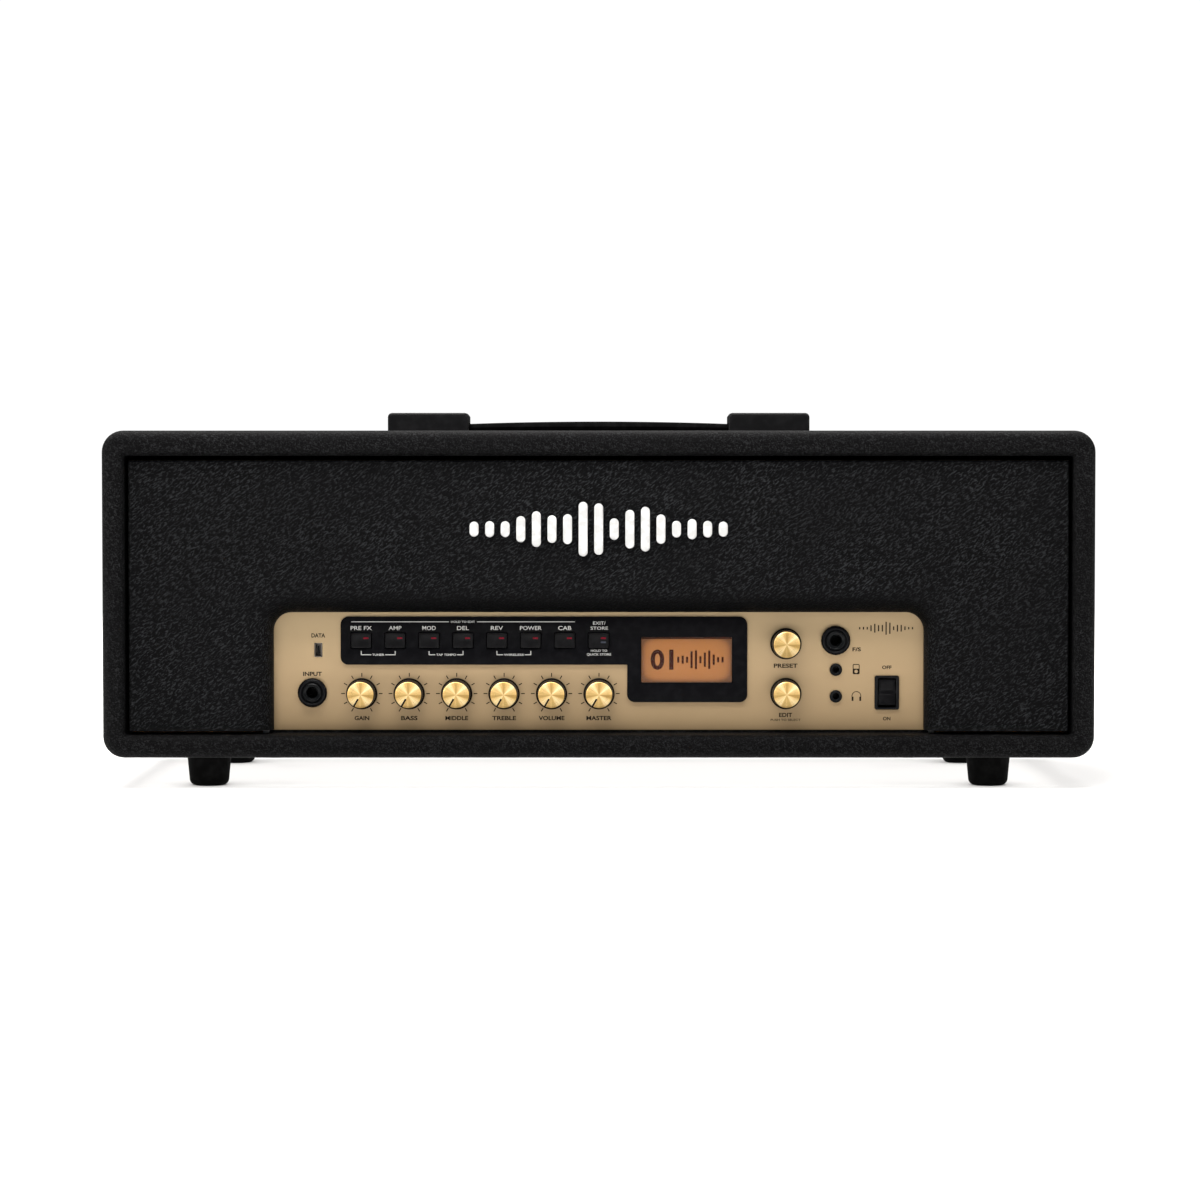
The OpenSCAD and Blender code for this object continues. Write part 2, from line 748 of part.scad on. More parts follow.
// The steel rear panel with ventilation slots and cut-outs
module rear_panel() color(plastic_black) difference() {
    plate_y(rear_y0, rear_y1) difference() {
        translate([-rear_half, in_z0 + 1]) square([2 * rear_half, in_z1 - in_z0 - 2]);
        for (at = speaker_jacks) translate(at) circle(jack_nose_r + fit);
        translate([inlet_lo.x + 2, inlet_lo.y + 2.5])
            square([inlet_hi.x - inlet_lo.x - 4, inlet_hi.y - inlet_lo.y - 5]);
        for (x = [-190, -120, -50, 30, 90], i = [0:vent_count - 1])
            centred_rect([x, 120 + i * vent_pitch], vent_w, vent_h);
    }
    cleat_rods(1.75, rear_y0 - 1, rear_y1 + 1, rear_screw_zs);
}

inlet_z = 76.5;
drawer_w = 20;
drawer_h = 10;
drawer_l = 25;

// Mains inlet with three pins in its well and a slot for the fuse drawer below them
module mains_inlet() color(plastic_black) {
    difference() {
        union() {
            plate_y(rear_y1, rear_y1 + 2.5) rounded_rect(inlet_lo, inlet_hi, 2);
            plate_y(rear_y1 - 28, rear_y1 + 0.5)
                rounded_rect(inlet_lo + [2.1, 2.6], inlet_hi - [2.1, 2.6], 1);
        }
        plate_y(rear_y1 - 14.5, rear_y1 + 3) centred_rect([inlet_x, inlet_z], 24.4, 16.6);
        plate_y(rear_y1 - 25, rear_y1 + 3)
            centred_rect([inlet_x, drawer_z], drawer_w + 0.7, drawer_h + 0.7);
    }
    for (p = [[-7, -2], [7, -2], [0, 2]])
        plate_y(rear_y1 - 15.5, rear_y1 - 2.6) centred_rect([inlet_x + p.x, inlet_z + p.y], 2, 4);
}

// The drawer with its finger lip and a well that holds the fuse
module fuse_drawer() color([0.15, 0.15, 0.16]) {
    difference() {
        plate_y(rear_y1 + 2.9 - drawer_l, rear_y1 + 2.9)
            centred_rect([inlet_x, drawer_z], drawer_w, drawer_h);
        span([inlet_x - 8, rear_y1 - 18, drawer_z - 3], [inlet_x + 8, rear_y1 - 1, drawer_z + 6]);
    }
    plate_y(rear_y1 + 2.8, rear_y1 + 4.4) rounded_rect([inlet_x - 11, drawer_z - 5.6],
        [inlet_x + 11, drawer_z + 5.6], 1);
    translate([inlet_x, rear_y1 - 9.5, drawer_z - 0.3]) rotate([0, 90, 0])
        cylinder(h = 15.8, r = 2.5, center = true);
}

// ---- Buttons and knobs ----

// A button: cap, retaining rim behind the flange, and a stem that ends short of its switch
module button_form(i) color([0.13, 0.13, 0.14]) {
    at = [button_xs[i], button_z];
    plate_y(panel_y - bezel_t - 1.4, flange_back + 1) centred_rect(at, button_w, button_h);
    plate_y(flange_back + 0.2, flange_back + 1.2) centred_rect(at, button_w + 2.4, button_h + 2.4);
    rod_y(at, 1.7, flange_back + 1, board_y - switch_reach - button_travel - 0.2);
}

// A knob, its shaft and the well at its back that clears the nut
module knob_form(at, shaft_depth) color([0.1, 0.1, 0.1]) on_front(at) {
    back = -panel_t - tray_t;
    difference() {
        translate([0, 0, knob_gap]) rotate_extrude()
            polygon([[0, 0], [skirt_r, 0], [skirt_r, 2.4], [skirt_r - 0.9, 3.2],
                [knob_cap_r + 0.35, knob_h], [0, knob_h]]);
        translate([0, 0, knob_gap - 1]) cylinder(h = nut_recess + 1, r = nut_recess_r);
        cylinder(h = knob_gap + knob_h - shaft_end, r = shaft_bore);
    }
    translate([0, 0, back - shaft_depth])
        cylinder(h = knob_gap + knob_h - shaft_end - 0.5 - back + shaft_depth, r = shaft_r);
}

cap_t = 1;

// The spun metal cap; a pot knob's has a slot that shows where it points
module cap_form(at, pointer) color(cap_gold) on_front(at) translate([0, 0, knob_gap + knob_h])
    difference() {
        cylinder(h = cap_t, r = knob_cap_r);
        if (pointer)
            rotate([0, 0, -pointer_angle]) translate([-0.6, knob_cap_r * 0.35, -1])
                cube([1.2, knob_cap_r, cap_t + 2]);
    }

cabinet_carcass();
vinyl_covering();
baffle_board();
baffle_covering();
badge();
rubber_feet();
wood_screws();
handle_caps();
handle_strap();
strap_core();
chassis_tray();
machine_screws();
control_panel();
button_bezel();
display_window();
display_module();
control_board();
main_board();
power_board();
transformer();
heatsink();
potentiometers();
encoders();
control_nuts();
tact_switches();
jack_sockets();
jack_nuts();
small_jacks();
data_port();
switch_housing();
power_rocker();
rear_panel();
mains_inlet();
fuse_drawer();
button_form(0);  // button_1
button_form(1);  // button_2
button_form(2);  // button_3
button_form(3);  // button_4
button_form(4);  // button_5
button_form(5);  // button_6
button_form(6);  // button_7
button_form(7);  // button_8
knob_form([knob_xs[0], knob_z], 6);  // knob_1
knob_form([knob_xs[1], knob_z], 6);  // knob_2
knob_form([knob_xs[2], knob_z], 6);  // knob_3
knob_form([knob_xs[3], knob_z], 6);  // knob_4
knob_form([knob_xs[4], knob_z], 6);  // knob_5
knob_form([knob_xs[5], knob_z], 6);  // knob_6
knob_form(preset_at, 6);  // preset_knob
knob_form(edit_at, 5);  // edit_knob
cap_form([knob_xs[0], knob_z], true);  // knob_cap_1
cap_form([knob_xs[1], knob_z], true);  // knob_cap_2
cap_form([knob_xs[2], knob_z], true);  // knob_cap_3
cap_form([knob_xs[3], knob_z], true);  // knob_cap_4
cap_form([knob_xs[4], knob_z], true);  // knob_cap_5
cap_form([knob_xs[5], knob_z], true);  // knob_cap_6
cap_form(preset_at, false);  // preset_cap
cap_form(edit_at, false);  // edit_cap
edit_plunger();
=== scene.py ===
"""Looks of a compact guitar amplifier head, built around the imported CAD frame.

Builders take millimetres in the row frame (+X right from the front, -Y out of the front,
+Z up) and make meshes in metres. Places come from the CAD nodes' boxes, or are named values
where a node holds several things, such as the sockets.
"""

import math

import bmesh
import bpy
from mathutils import Matrix, Vector


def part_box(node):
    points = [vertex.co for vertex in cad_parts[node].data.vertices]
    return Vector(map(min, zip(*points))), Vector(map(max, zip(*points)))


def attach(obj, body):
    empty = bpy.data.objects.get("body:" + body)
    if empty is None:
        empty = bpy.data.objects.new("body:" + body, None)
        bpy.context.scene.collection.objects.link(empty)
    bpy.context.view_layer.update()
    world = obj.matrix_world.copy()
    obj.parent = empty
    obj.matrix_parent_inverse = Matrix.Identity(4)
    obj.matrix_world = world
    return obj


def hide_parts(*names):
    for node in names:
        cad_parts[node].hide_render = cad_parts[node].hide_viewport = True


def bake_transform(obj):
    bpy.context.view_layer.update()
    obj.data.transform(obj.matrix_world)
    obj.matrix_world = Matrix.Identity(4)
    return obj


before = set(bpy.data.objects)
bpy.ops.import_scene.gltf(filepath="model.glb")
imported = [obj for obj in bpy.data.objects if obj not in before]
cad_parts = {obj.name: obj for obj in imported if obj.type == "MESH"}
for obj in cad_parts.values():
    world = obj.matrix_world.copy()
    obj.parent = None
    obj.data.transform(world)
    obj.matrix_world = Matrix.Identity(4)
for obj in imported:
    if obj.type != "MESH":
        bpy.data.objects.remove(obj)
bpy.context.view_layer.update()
MM = 0.001
CABINET = "cabinet"
CRISP_ANGLE = 35
INK_T = 0.04
SIZE_PER_CAPITAL = 1.38


# ---- measures from the frame


class Span:
    """A CAD node's box in millimetres: x0, x1, y0, y1, z0, z1 and its centre."""

    def __init__(self, node):
        lo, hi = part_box(node)
        self.x0, self.y0, self.z0 = (v / MM for v in lo)
        self.x1, self.y1, self.z1 = (v / MM for v in hi)
        self.x = (self.x0 + self.x1) / 2
        self.y = (self.y0 + self.y1) / 2
        self.z = (self.z0 + self.z1) / 2


sleeve = Span("vinyl_covering")
carcass = Span("cabinet_carcass")
baffle = Span("baffle_covering")
panel = Span("control_panel")
bezel = Span("button_bezel")
window = Span("display_window")
rear = Span("rear_panel")
VINYL_T = carcass.x0 - sleeve.x0
CORNER_R = 13.0
NOSE_R = 7.5
LIP_R = 4.5
SIDE_W = 13.5
TOP_W = 15.2
BOTTOM_W = 14.0
OPENING_HALF = 198.1
OPENING_Z = 106.7
OPENING_R = 11.4
TUNNEL_R = 14.5
RIM_R = 1.5
CLEAT_W = 15.0
EDGE_R = 1.4
BUTTONS = [Span(f"button_{i + 1}") for i in range(8)]
KNOBS = [Span(f"knob_{i + 1}") for i in range(6)]
ENCODERS = {name: Span(f"{name}_knob") for name in ("preset", "edit")}


# ---- mesh helpers


def add(name, data):
    """A new object in the scene for a mesh, curve, light or camera."""
    obj = bpy.data.objects.new(name, data)
    bpy.context.scene.collection.objects.link(obj)
    return obj


def evaluated_mesh(obj):
    """The object's mesh as its curve settings or modifiers make it."""
    bpy.context.view_layer.update()
    return bpy.data.meshes.new_from_object(obj.evaluated_get(bpy.context.evaluated_depsgraph_get()))


def mesh_from(curve):
    """The mesh that a curve makes. The curve goes."""
    temp = add(curve.name + "_curve", curve)
    mesh = evaluated_mesh(temp)
    bpy.data.objects.remove(temp)
    bpy.data.curves.remove(curve)
    return mesh


def stand_up(mesh, x, y, z):
    """Turns a mesh drawn in the XY plane to look towards -Y, and moves it by millimetres."""
    mesh.transform(Matrix.Rotation(math.radians(90), 4, "X"))
    mesh.transform(Matrix.Translation((x * MM, y * MM, z * MM)))


def move(obj, x=0.0, y=0.0, z=0.0):
    """Shifts an object's mesh by millimetres."""
    obj.data.transform(Matrix.Translation(Vector((x, y, z)) * MM))
    return obj


def spin(obj, degrees, axis):
    """Turns an object's mesh about an axis through the origin."""
    obj.data.transform(Matrix.Rotation(math.radians(degrees), 4, axis))
    return obj


def clean(mesh, near):
    """Merges points closer than near, in metres, and turns every face outwards."""
    bm = bmesh.new()
    bm.from_mesh(mesh)
    bmesh.ops.remove_doubles(bm, verts=bm.verts, dist=near)
    bmesh.ops.recalc_face_normals(bm, faces=bm.faces)
    bm.to_mesh(mesh)
    bm.free()


def finish_mesh(name, verts, faces, material, smooth=True):
    """A mesh object from points in millimetres, with outward normals."""
    mesh = bpy.data.meshes.new(name)
    mesh.from_pydata([Vector(v) * MM for v in verts], [], faces)
    clean(mesh, 1e-7)
    return dress(add(name, mesh), material, smooth)


def dress(obj, material, smooth=True):
    """Gives an object its material, and smooth faces with crisp edges between steep ones."""
    obj.data.materials.clear()
    obj.data.materials.append(material)
    for face in obj.data.polygons:
        face.use_smooth = smooth
    if smooth:
        bm = bmesh.new()
        bm.from_mesh(obj.data)
        for edge in bm.edges:
            if len(edge.link_faces) == 2 and edge.calc_face_angle(0) > math.radians(CRISP_ANGLE):
                edge.smooth = False
        bm.to_mesh(obj.data)
        bm.free()
    return obj


def place(obj, body, slot, *replaced):
    """Fixes a piece to a body and hides the CAD nodes it stands for; slot is not used."""
    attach(obj, body)
    if replaced:
        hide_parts(*replaced)
    return obj


def grid_faces(rows, cols, wrap_rows=False, wrap_cols=False):
    """Quads over a grid of rows * cols points."""
    faces = []
    for r in range(rows if wrap_rows else rows - 1):
        for c in range(cols if wrap_cols else cols - 1):
            r1, c1 = (r + 1) % rows, (c + 1) % cols
            faces.append((r * cols + c, r * cols + c1, r1 * cols + c1, r1 * cols + c))
    return faces


def arc(cx, cy, r, a0, a1, steps):
    """Points on an arc, angles in degrees, both ends included."""
    angles = [math.radians(a0 + (a1 - a0) * i / steps) for i in range(steps + 1)]
    return [(cx + r * math.cos(a), cy + r * math.sin(a)) for a in angles]


def fillet(points, radii, steps):
    """A closed outline with each corner rounded to its radius."""
    out = []
    n = len(points)
    for i, point in enumerate(points):
        p = Vector(point)
        before = (Vector(points[i - 1]) - p).normalized()
        after = (Vector(points[(i + 1) % n]) - p).normalized()
        r = radii[i] if isinstance(radii, (list, tuple)) else radii
        if r <= 0:
            out.append(tuple(p))
            continue
        half = before.angle(after) / 2
        reach = r / math.tan(half)
        centre = p + (before + after).normalized() * (r / math.sin(half))
        start, end = p + before * reach - centre, p + after * reach - centre
        sweep = start.angle(end)
        side = 1 if start.x * end.y - start.y * end.x > 0 else -1
        for k in range(steps + 1):
            a = side * sweep * k / steps
            c, s = math.cos(a), math.sin(a)
            out.append((centre.x + start.x * c - start.y * s, centre.y + start.x * s + start.y * c))
    return out


def rounded_box(x0, z0, x1, z1, r, steps):
    """A rounded rectangle by its corners."""
    return fillet([(x0, z0), (x1, z0), (x1, z1), (x0, z1)], r, steps)


def rounded(x, z, half_w, half_h, r, steps=3):
    """A rounded rectangle by its centre and half sizes."""
    return rounded_box(x - half_w, z - half_h, x + half_w, z + half_h, r, steps)


def plate(name, outlines, y0, y1, edge, material, rounds=3):
    """A plate in the XZ plane from y0 to y1 with holes and rounded edges.

    The first outline is the outside; the others are holes. Both faces get the rounded edge.
    """
    curve = bpy.data.curves.new(name, "CURVE")
    curve.dimensions = "2D"
    curve.fill_mode = "BOTH"
    for outline in outlines:
        spline = curve.splines.new("POLY")
        spline.points.add(len(outline) - 1)
        for point, (x, z) in zip(spline.points, outline):
            point.co = (x * MM, z * MM, 0, 1)
        spline.use_cyclic_u = True
    curve.extrude = ((y1 - y0) / 2 - edge) * MM
    curve.bevel_depth = edge * MM
    curve.bevel_resolution = rounds
    curve.offset = -edge * MM
    mesh = mesh_from(curve)
    mesh.name = name
    stand_up(mesh, 0, (y0 + y1) / 2, 0)
    clean(mesh, 2e-6)
    return dress(add(name, mesh), material)


def rod(r, h0, h1):
    """Profile of a plain solid cylinder, for turning."""
    return [(0, h0), (r, h0), (r, h1), (0, h1)]


def soften(profile, r, steps):
    """An open profile with its inner corners rounded, for turning."""
    out = [profile[0]]
    for before, point, after in zip(profile, profile[1:], profile[2:]):
        p, a, b = Vector(point), Vector(before), Vector(after)
        reach = min(r, (a - p).length * 0.45, (b - p).length * 0.45)
        p0, p1 = p + (a - p).normalized() * reach, p + (b - p).normalized() * reach
        for k in range(steps + 1):
            t = k / steps
            out.append(tuple(p0 * (1 - t) ** 2 + p * 2 * t * (1 - t) + p1 * t**2))
    out.append(profile[-1])
    return out


def turn(name, profile, centre, out, material, segments, flutes=0, depth=0.0, band=(0, 0)):
    """A turned piece: profile is (radius, height), height along out ('-y', '+y', '-z', '+z').

    flutes cuts that many shallow grooves of the given depth where the height is inside band.
    """
    basis = {
        "-y": (Vector((1, 0, 0)), Vector((0, 0, 1)), Vector((0, -1, 0))),
        "+y": (Vector((-1, 0, 0)), Vector((0, 0, 1)), Vector((0, 1, 0))),
        "+z": (Vector((1, 0, 0)), Vector((0, 1, 0)), Vector((0, 0, 1))),
        "-z": (Vector((1, 0, 0)), Vector((0, -1, 0)), Vector((0, 0, -1))),
    }[out]
    verts = []
    for r, h in profile:
        for k in range(segments):
            a = 2 * math.pi * k / segments
            groove = 0.0
            if flutes and band[0] <= h <= band[1]:
                groove = depth * (0.5 - 0.5 * math.cos(flutes * a))
            radius = max(r - groove, 0.0)
            at = basis[0] * (radius * math.cos(a)) + basis[1] * (radius * math.sin(a)) + basis[2] * h
            verts.append(Vector(centre) + at)
    closed = profile[0][0] > 1e-6 and profile[-1][0] > 1e-6
    faces = grid_faces(len(profile), segments, wrap_rows=closed, wrap_cols=True)
    return finish_mesh(name, verts, faces, material)


def block(name, x0, y0, z0, x1, y1, z1, r, material, rounds=3):
    """A box with every edge rounded."""
    mesh = bpy.data.meshes.new(name)
    bm = bmesh.new()
    bmesh.ops.create_cube(bm, size=1)
    size = Vector((x1 - x0, y1 - y0, z1 - z0)) * MM
    centre = Vector((x0 + x1, y0 + y1, z0 + z1)) * MM / 2
    bmesh.ops.scale(bm, vec=size, verts=bm.verts)
    bmesh.ops.translate(bm, vec=centre, verts=bm.verts)
    bmesh.ops.bevel(bm, geom=bm.edges[:], offset=r * MM, segments=rounds, profile=0.5, affect="EDGES")
    bmesh.ops.recalc_face_normals(bm, faces=bm.faces)
    bm.to_mesh(mesh)
    bm.free()
    return dress(add(name, mesh), material)


def join(name, parts):
    """Several meshes of one material as one piece."""
    bm = bmesh.new()
    for part in parts:
        bm.from_mesh(part.data)
    mesh = bpy.data.meshes.new(name)
    bm.to_mesh(mesh)
    bm.free()
    mesh.materials.append(parts[0].data.materials[0])
    for part in parts:
        bpy.data.objects.remove(part)
    return add(name, mesh)


def assemble(name, parts, body, slot, *replaced):
    """Parts of one material joined into a piece and placed."""
    piece = join(name, parts)
    return place(dress(piece, piece.data.materials[0]), body, slot, *replaced)


def mirror(obj, axis):
    """Mirrors an object's mesh through the origin, 0 for left and right or 2 for up and down."""
    flip = Vector((1, 1, 1, 1))
    flip[axis] = -1
    obj.data.transform(Matrix.Diagonal(flip))
    obj.data.flip_normals()


def cut(obj, *cutters):
    """Removes the cutters' volumes from obj."""
    for cutter in cutters:
        change = obj.modifiers.new("cut", "BOOLEAN")
        change.operation = "DIFFERENCE"
        change.solver = "EXACT"
        change.object = cutter
    settle(obj)
    for cutter in cutters:
        bpy.data.objects.remove(cutter)
    return obj


def settle(obj):
    """Turns an object's modifiers into mesh and finds its crisp edges again."""
    mesh = evaluated_mesh(obj)
    obj.modifiers.clear()
    material = obj.data.materials[0]
    obj.data = mesh
    return dress(obj, material)


def text(words, x, z, height, y, material, width, weight):
    """Raised print on a face that looks towards -Y, centred on x and z.

    weight thickens the strokes, as a share of the height.
    """
    curve = bpy.data.curves.new("print", "FONT")
    curve.body = words
    curve.size = height * SIZE_PER_CAPITAL * MM
    curve.align_x = "CENTER"
    curve.align_y = "CENTER"
    curve.extrude = INK_T / 2 * MM
    curve.offset = weight * height * MM
    curve.resolution_u = 3
    mesh = mesh_from(curve)
    xs = [v.co.x for v in mesh.vertices]
    ys = [v.co.y for v in mesh.vertices]
    mesh.transform(Matrix.Translation((-(min(xs) + max(xs)) / 2, -(min(ys) + max(ys)) / 2, 0)))
    mesh.transform(Matrix.Diagonal((width * MM / (max(xs) - min(xs)), 1, 1, 1)))
    stand_up(mesh, x, y - INK_T / 2, z)
    mesh.materials.clear()
    mesh.materials.append(material)
    return add("print", mesh)


def stroke(x0, z0, x1, z1, w, y, material):
    """A straight printed line of width w from one point to another."""
    a, b = Vector((x0, z0)), Vector((x1, z1))
    side = (b - a).normalized().orthogonal() * w / 2
    corners = [a + side, b + side, b - side, a - side]
    verts = [(c.x, y - INK_T, c.y) for c in corners] + [(c.x, y, c.y) for c in corners]
    faces = [(0, 1, 2, 3), (7, 6, 5, 4), (0, 4, 5, 1), (1, 5, 6, 2), (2, 6, 7, 3), (3, 7, 4, 0)]
    return finish_mesh("stroke", verts, faces, material, smooth=False)


# ---- finishes


class Finish:
    """A procedural material being built. Lengths of texture features are in millimetres."""

    def __init__(self, name, color, roughness, metallic=0.0, **more):
        self.material = bpy.data.materials.new(name)
        self.material.use_nodes = True
        self.nodes = self.material.node_tree.nodes
        self.links = self.material.node_tree.links
        self.shader = self.nodes["Principled BSDF"]
        self.place = self.nodes.new("ShaderNodeTexCoord").outputs["Object"]
        self.normal = None
        self.material.diffuse_color = (*color, 1)
        self.shader.inputs["Base Color"].default_value = (*color, 1)
        self.shader.inputs["Roughness"].default_value = roughness
        self.shader.inputs["Metallic"].default_value = metallic
        for socket, value in more.items():
            self.shader.inputs[socket.replace("_", " ")].default_value = value

    def node(self, kind, inputs=(), **settings):
        """A new node; an input is a value, or an output socket to wire in."""
        node = self.nodes.new("ShaderNode" + kind)
        for key, value in settings.items():
            setattr(node, key, value)
        for key, value in dict(inputs).items():
            if isinstance(value, bpy.types.NodeSocket):
                self.links.new(value, node.inputs[key])
            else:
                node.inputs[key].default_value = value
        return node

    def at(self, stretch=(1, 1, 1), lean=(0, 0, 0)):
        """Coordinates turned by lean degrees, then scaled by stretch, to lengthen a texture."""
        angles = tuple(math.radians(a) for a in lean)
        turned = self.node("Mapping", {"Vector": self.place, "Rotation": angles})
        return self.node("Mapping", {"Vector": turned.outputs[0], "Scale": stretch}).outputs[0]

    def noise(self, size, detail=4.0, rough=0.55, distort=0.0, **where):
        """Noise from 0 to 1 with features about size millimetres apart."""
        spots = {"Scale": 1 / (size * MM), "Detail": detail, "Roughness": rough, "Distortion": distort}
        return self.node("TexNoise", {"Vector": self.at(**where), **spots}).outputs["Fac"]

    def ramp(self, fac, *stops):
        """Colours by position: stops are (position, value or colour)."""
        node = self.node("ValToRGB", {"Fac": fac})
        elements = node.color_ramp.elements
        while len(elements) < len(stops):
            elements.new(0.5)
        for element, (position, value) in zip(elements, stops):
            element.position = position
            element.color = (*value, 1) if isinstance(value, tuple) else (value, value, value, 1)
        return node.outputs["Color"]

    def calc(self, operation, *values):
        """One step of arithmetic on sockets or numbers."""
        return self.node("Math", enumerate(values), operation=operation).outputs[0]

    def blend(self, fac, a, b):
        """From colour a to colour b as fac goes from 0 to 1."""
        colours = [(*c, 1) if isinstance(c, tuple) else c for c in (a, b)]
        node = self.node("Mix", {0: fac, 6: colours[0], 7: colours[1]}, data_type="RGBA")
        return node.outputs[2]

    def paint(self, color):
        self.links.new(color, self.shader.inputs["Base Color"])

    def between(self, axis, lo, hi, low=0.0, high=1.0):
        """From low to high along an axis, between two places in millimetres."""
        ends = {"From Min": lo * MM, "From Max": hi * MM, "To Min": low, "To Max": high}
        along = self.node("SeparateXYZ", {0: self.place}).outputs[axis]
        return self.node("MapRange", {"Value": along, **ends}).outputs[0]

    def glow(self, color, strength):
        """The surface's own colour, also given off as light."""
        self.paint(color)
        self.links.new(color, self.shader.inputs["Emission Color"])
        self.shader.inputs["Emission Strength"].default_value = strength

    def line_noise(self, along, scale, detail):
        """Noise that varies along one measure only."""
        settings = {"Scale": scale, "Detail": detail, "W": along}
        return self.node("TexNoise", settings, noise_dimensions="1D").outputs["Fac"]

    def gloss(self, fac, low, high):
        """Roughness from low to high as fac goes from 0 to 1."""
        node = self.node("MapRange", {"Value": fac, "To Min": low, "To Max": high})
        self.links.new(node.outputs[0], self.shader.inputs["Roughness"])

    def bump(self, height, depth):
        """Raises the surface by height times depth millimetres, on top of any earlier bump."""
        inputs = {"Height": height, "Distance": depth * MM, "Strength": 1.0}
        if self.normal:
            inputs["Normal"] = self.normal
        self.normal = self.node("Bump", inputs).outputs[0]
        self.links.new(self.normal, self.shader.inputs["Normal"])


def grained_vinyl(name, crease, painted_crest_highlight, grain, depth, slant, lengthen, curl, sheen, rolled=False):
    """Embossed covering: raised strokes that lean one way, with a painted highlight along their crests.

    With rolled, the painted crest highlight fades where the surface faces down, as round the top of the
    rolled opening: painted shade there.
    """
    f = Finish(name, crease, 0.6, Specular_IOR_Level=sheen)
    lie = {"stretch": (1 / lengthen, 1, 1), "lean": (0, slant, 0)}
    folds = f.noise(grain, 1.5, 0.5, curl, **lie)
    strokes = f.ramp(folds, (0.5, 0.0), (0.66, 1.0))
    f.bump(strokes, depth)
    f.bump(f.noise(grain * 0.3, 2.0, 0.6), depth * 0.15)
    patches = f.noise(45, 3.0, 0.6)
    f.gloss(patches, 0.52, 0.72)
    # Painted highlight: the crests get a lighter colour, stronger in some patches than in others.
    painted_highlight_mask = f.calc("MULTIPLY", strokes, f.ramp(patches, (0.35, 0.6), (0.65, 1.0)))
    # Painted shade: surfaces that face down, such as the top of the rolled opening, lose most of the
    # painted highlight.
    if rolled:
        rise = f.node("SeparateXYZ", {0: f.node("NewGeometry").outputs["Normal"]}).outputs[2]
        flat = f.ramp(f.calc("MULTIPLY", rise, -1.0), (0.06, 1.0), (0.6, 0.1))
        painted_highlight_mask = f.calc("MULTIPLY", painted_highlight_mask, flat)
    f.paint(f.blend(painted_highlight_mask, crease, painted_crest_highlight))
    return f.material


def moulded(name, color, roughness, grain=0.25, depth=0.012, coat=0.0, **more):
    """Moulded plastic or rubber: a fine skin texture, faint flow marks and uneven gloss."""
    more = {"Specular_IOR_Level": 0.1, **more}
    f = Finish(name, color, roughness, Coat_Weight=coat, Coat_Roughness=0.12, **more)
    f.bump(f.noise(grain, 2.0, 0.5), depth)
    f.bump(f.noise(9, 2.0, 0.4), depth * 1.5)
    smudge = f.noise(14, 4.0, 0.6)
    f.gloss(smudge, roughness * 0.8, min(roughness * 1.2, 1.0))
    lighter = tuple(c * 1.5 + 0.002 for c in color)
    f.paint(f.blend(f.ramp(f.noise(5, 3.0), (0.45, 0.0), (0.75, 1.0)), color, lighter))
    return f.material


def worked_metal(name, color, roughness, stretch=(1, 1, 1), depth=0.006):
    """Sheet or turned metal with a directional brushed grain and slight tarnish."""
    f = Finish(name, color, roughness, 1.0)
    lines = f.noise(0.15, 3.0, 0.6, stretch=stretch)
    f.bump(lines, depth)
    f.gloss(lines, roughness * 0.75, roughness * 1.3)
    darker = tuple(c * 0.72 for c in color)
    f.paint(f.blend(f.ramp(f.noise(18, 4.0), (0.35, 0.0), (0.8, 1.0)), color, darker))
    return f.material


def wood():
    """Birch plywood with long rings of grain."""
    f = Finish("birch_ply", (0.50, 0.33, 0.17), 0.6)
    rings = f.noise(3, 4.0, 0.65, 0.6, stretch=(0.12, 1, 1))
    dark, middle, pale = (0.36, 0.21, 0.10), (0.55, 0.37, 0.19), (0.66, 0.47, 0.27)
    f.paint(f.ramp(rings, (0.3, dark), (0.55, middle), (0.8, pale)))
    f.bump(rings, 0.08)
    f.gloss(rings, 0.5, 0.72)
    return f.material


def gold_panel():
    """Anodised panel: beige gold, with painted shade that darkens it towards its foot and its right end."""
    f = Finish("anodised_gold", (0.48, 0.34, 0.18), 0.42, 0.55)
    # Painted shade: lighter at the top, darker towards the foot.
    height = f.between(2, panel.z0, panel.z1)
    foot, middle, top = (0.315, 0.22, 0.115), (0.445, 0.32, 0.18), (0.48, 0.36, 0.205)
    upright = f.ramp(height, (0.0, foot), (0.5, middle), (1.0, top))
    # Painted shade: darker towards the right end.
    painted_shade_right = f.ramp(f.between(0, panel.x0, panel.x1), (0.0, 0.0), (1.0, 0.28))
    f.paint(f.blend(painted_shade_right, upright, (0.40, 0.28, 0.15)))
    grain = f.noise(0.22, 2.0, 0.5, stretch=(0.08, 1, 1))
    f.bump(grain, 0.004)
    f.gloss(f.noise(25, 4.0), 0.38, 0.5)
    return f.material


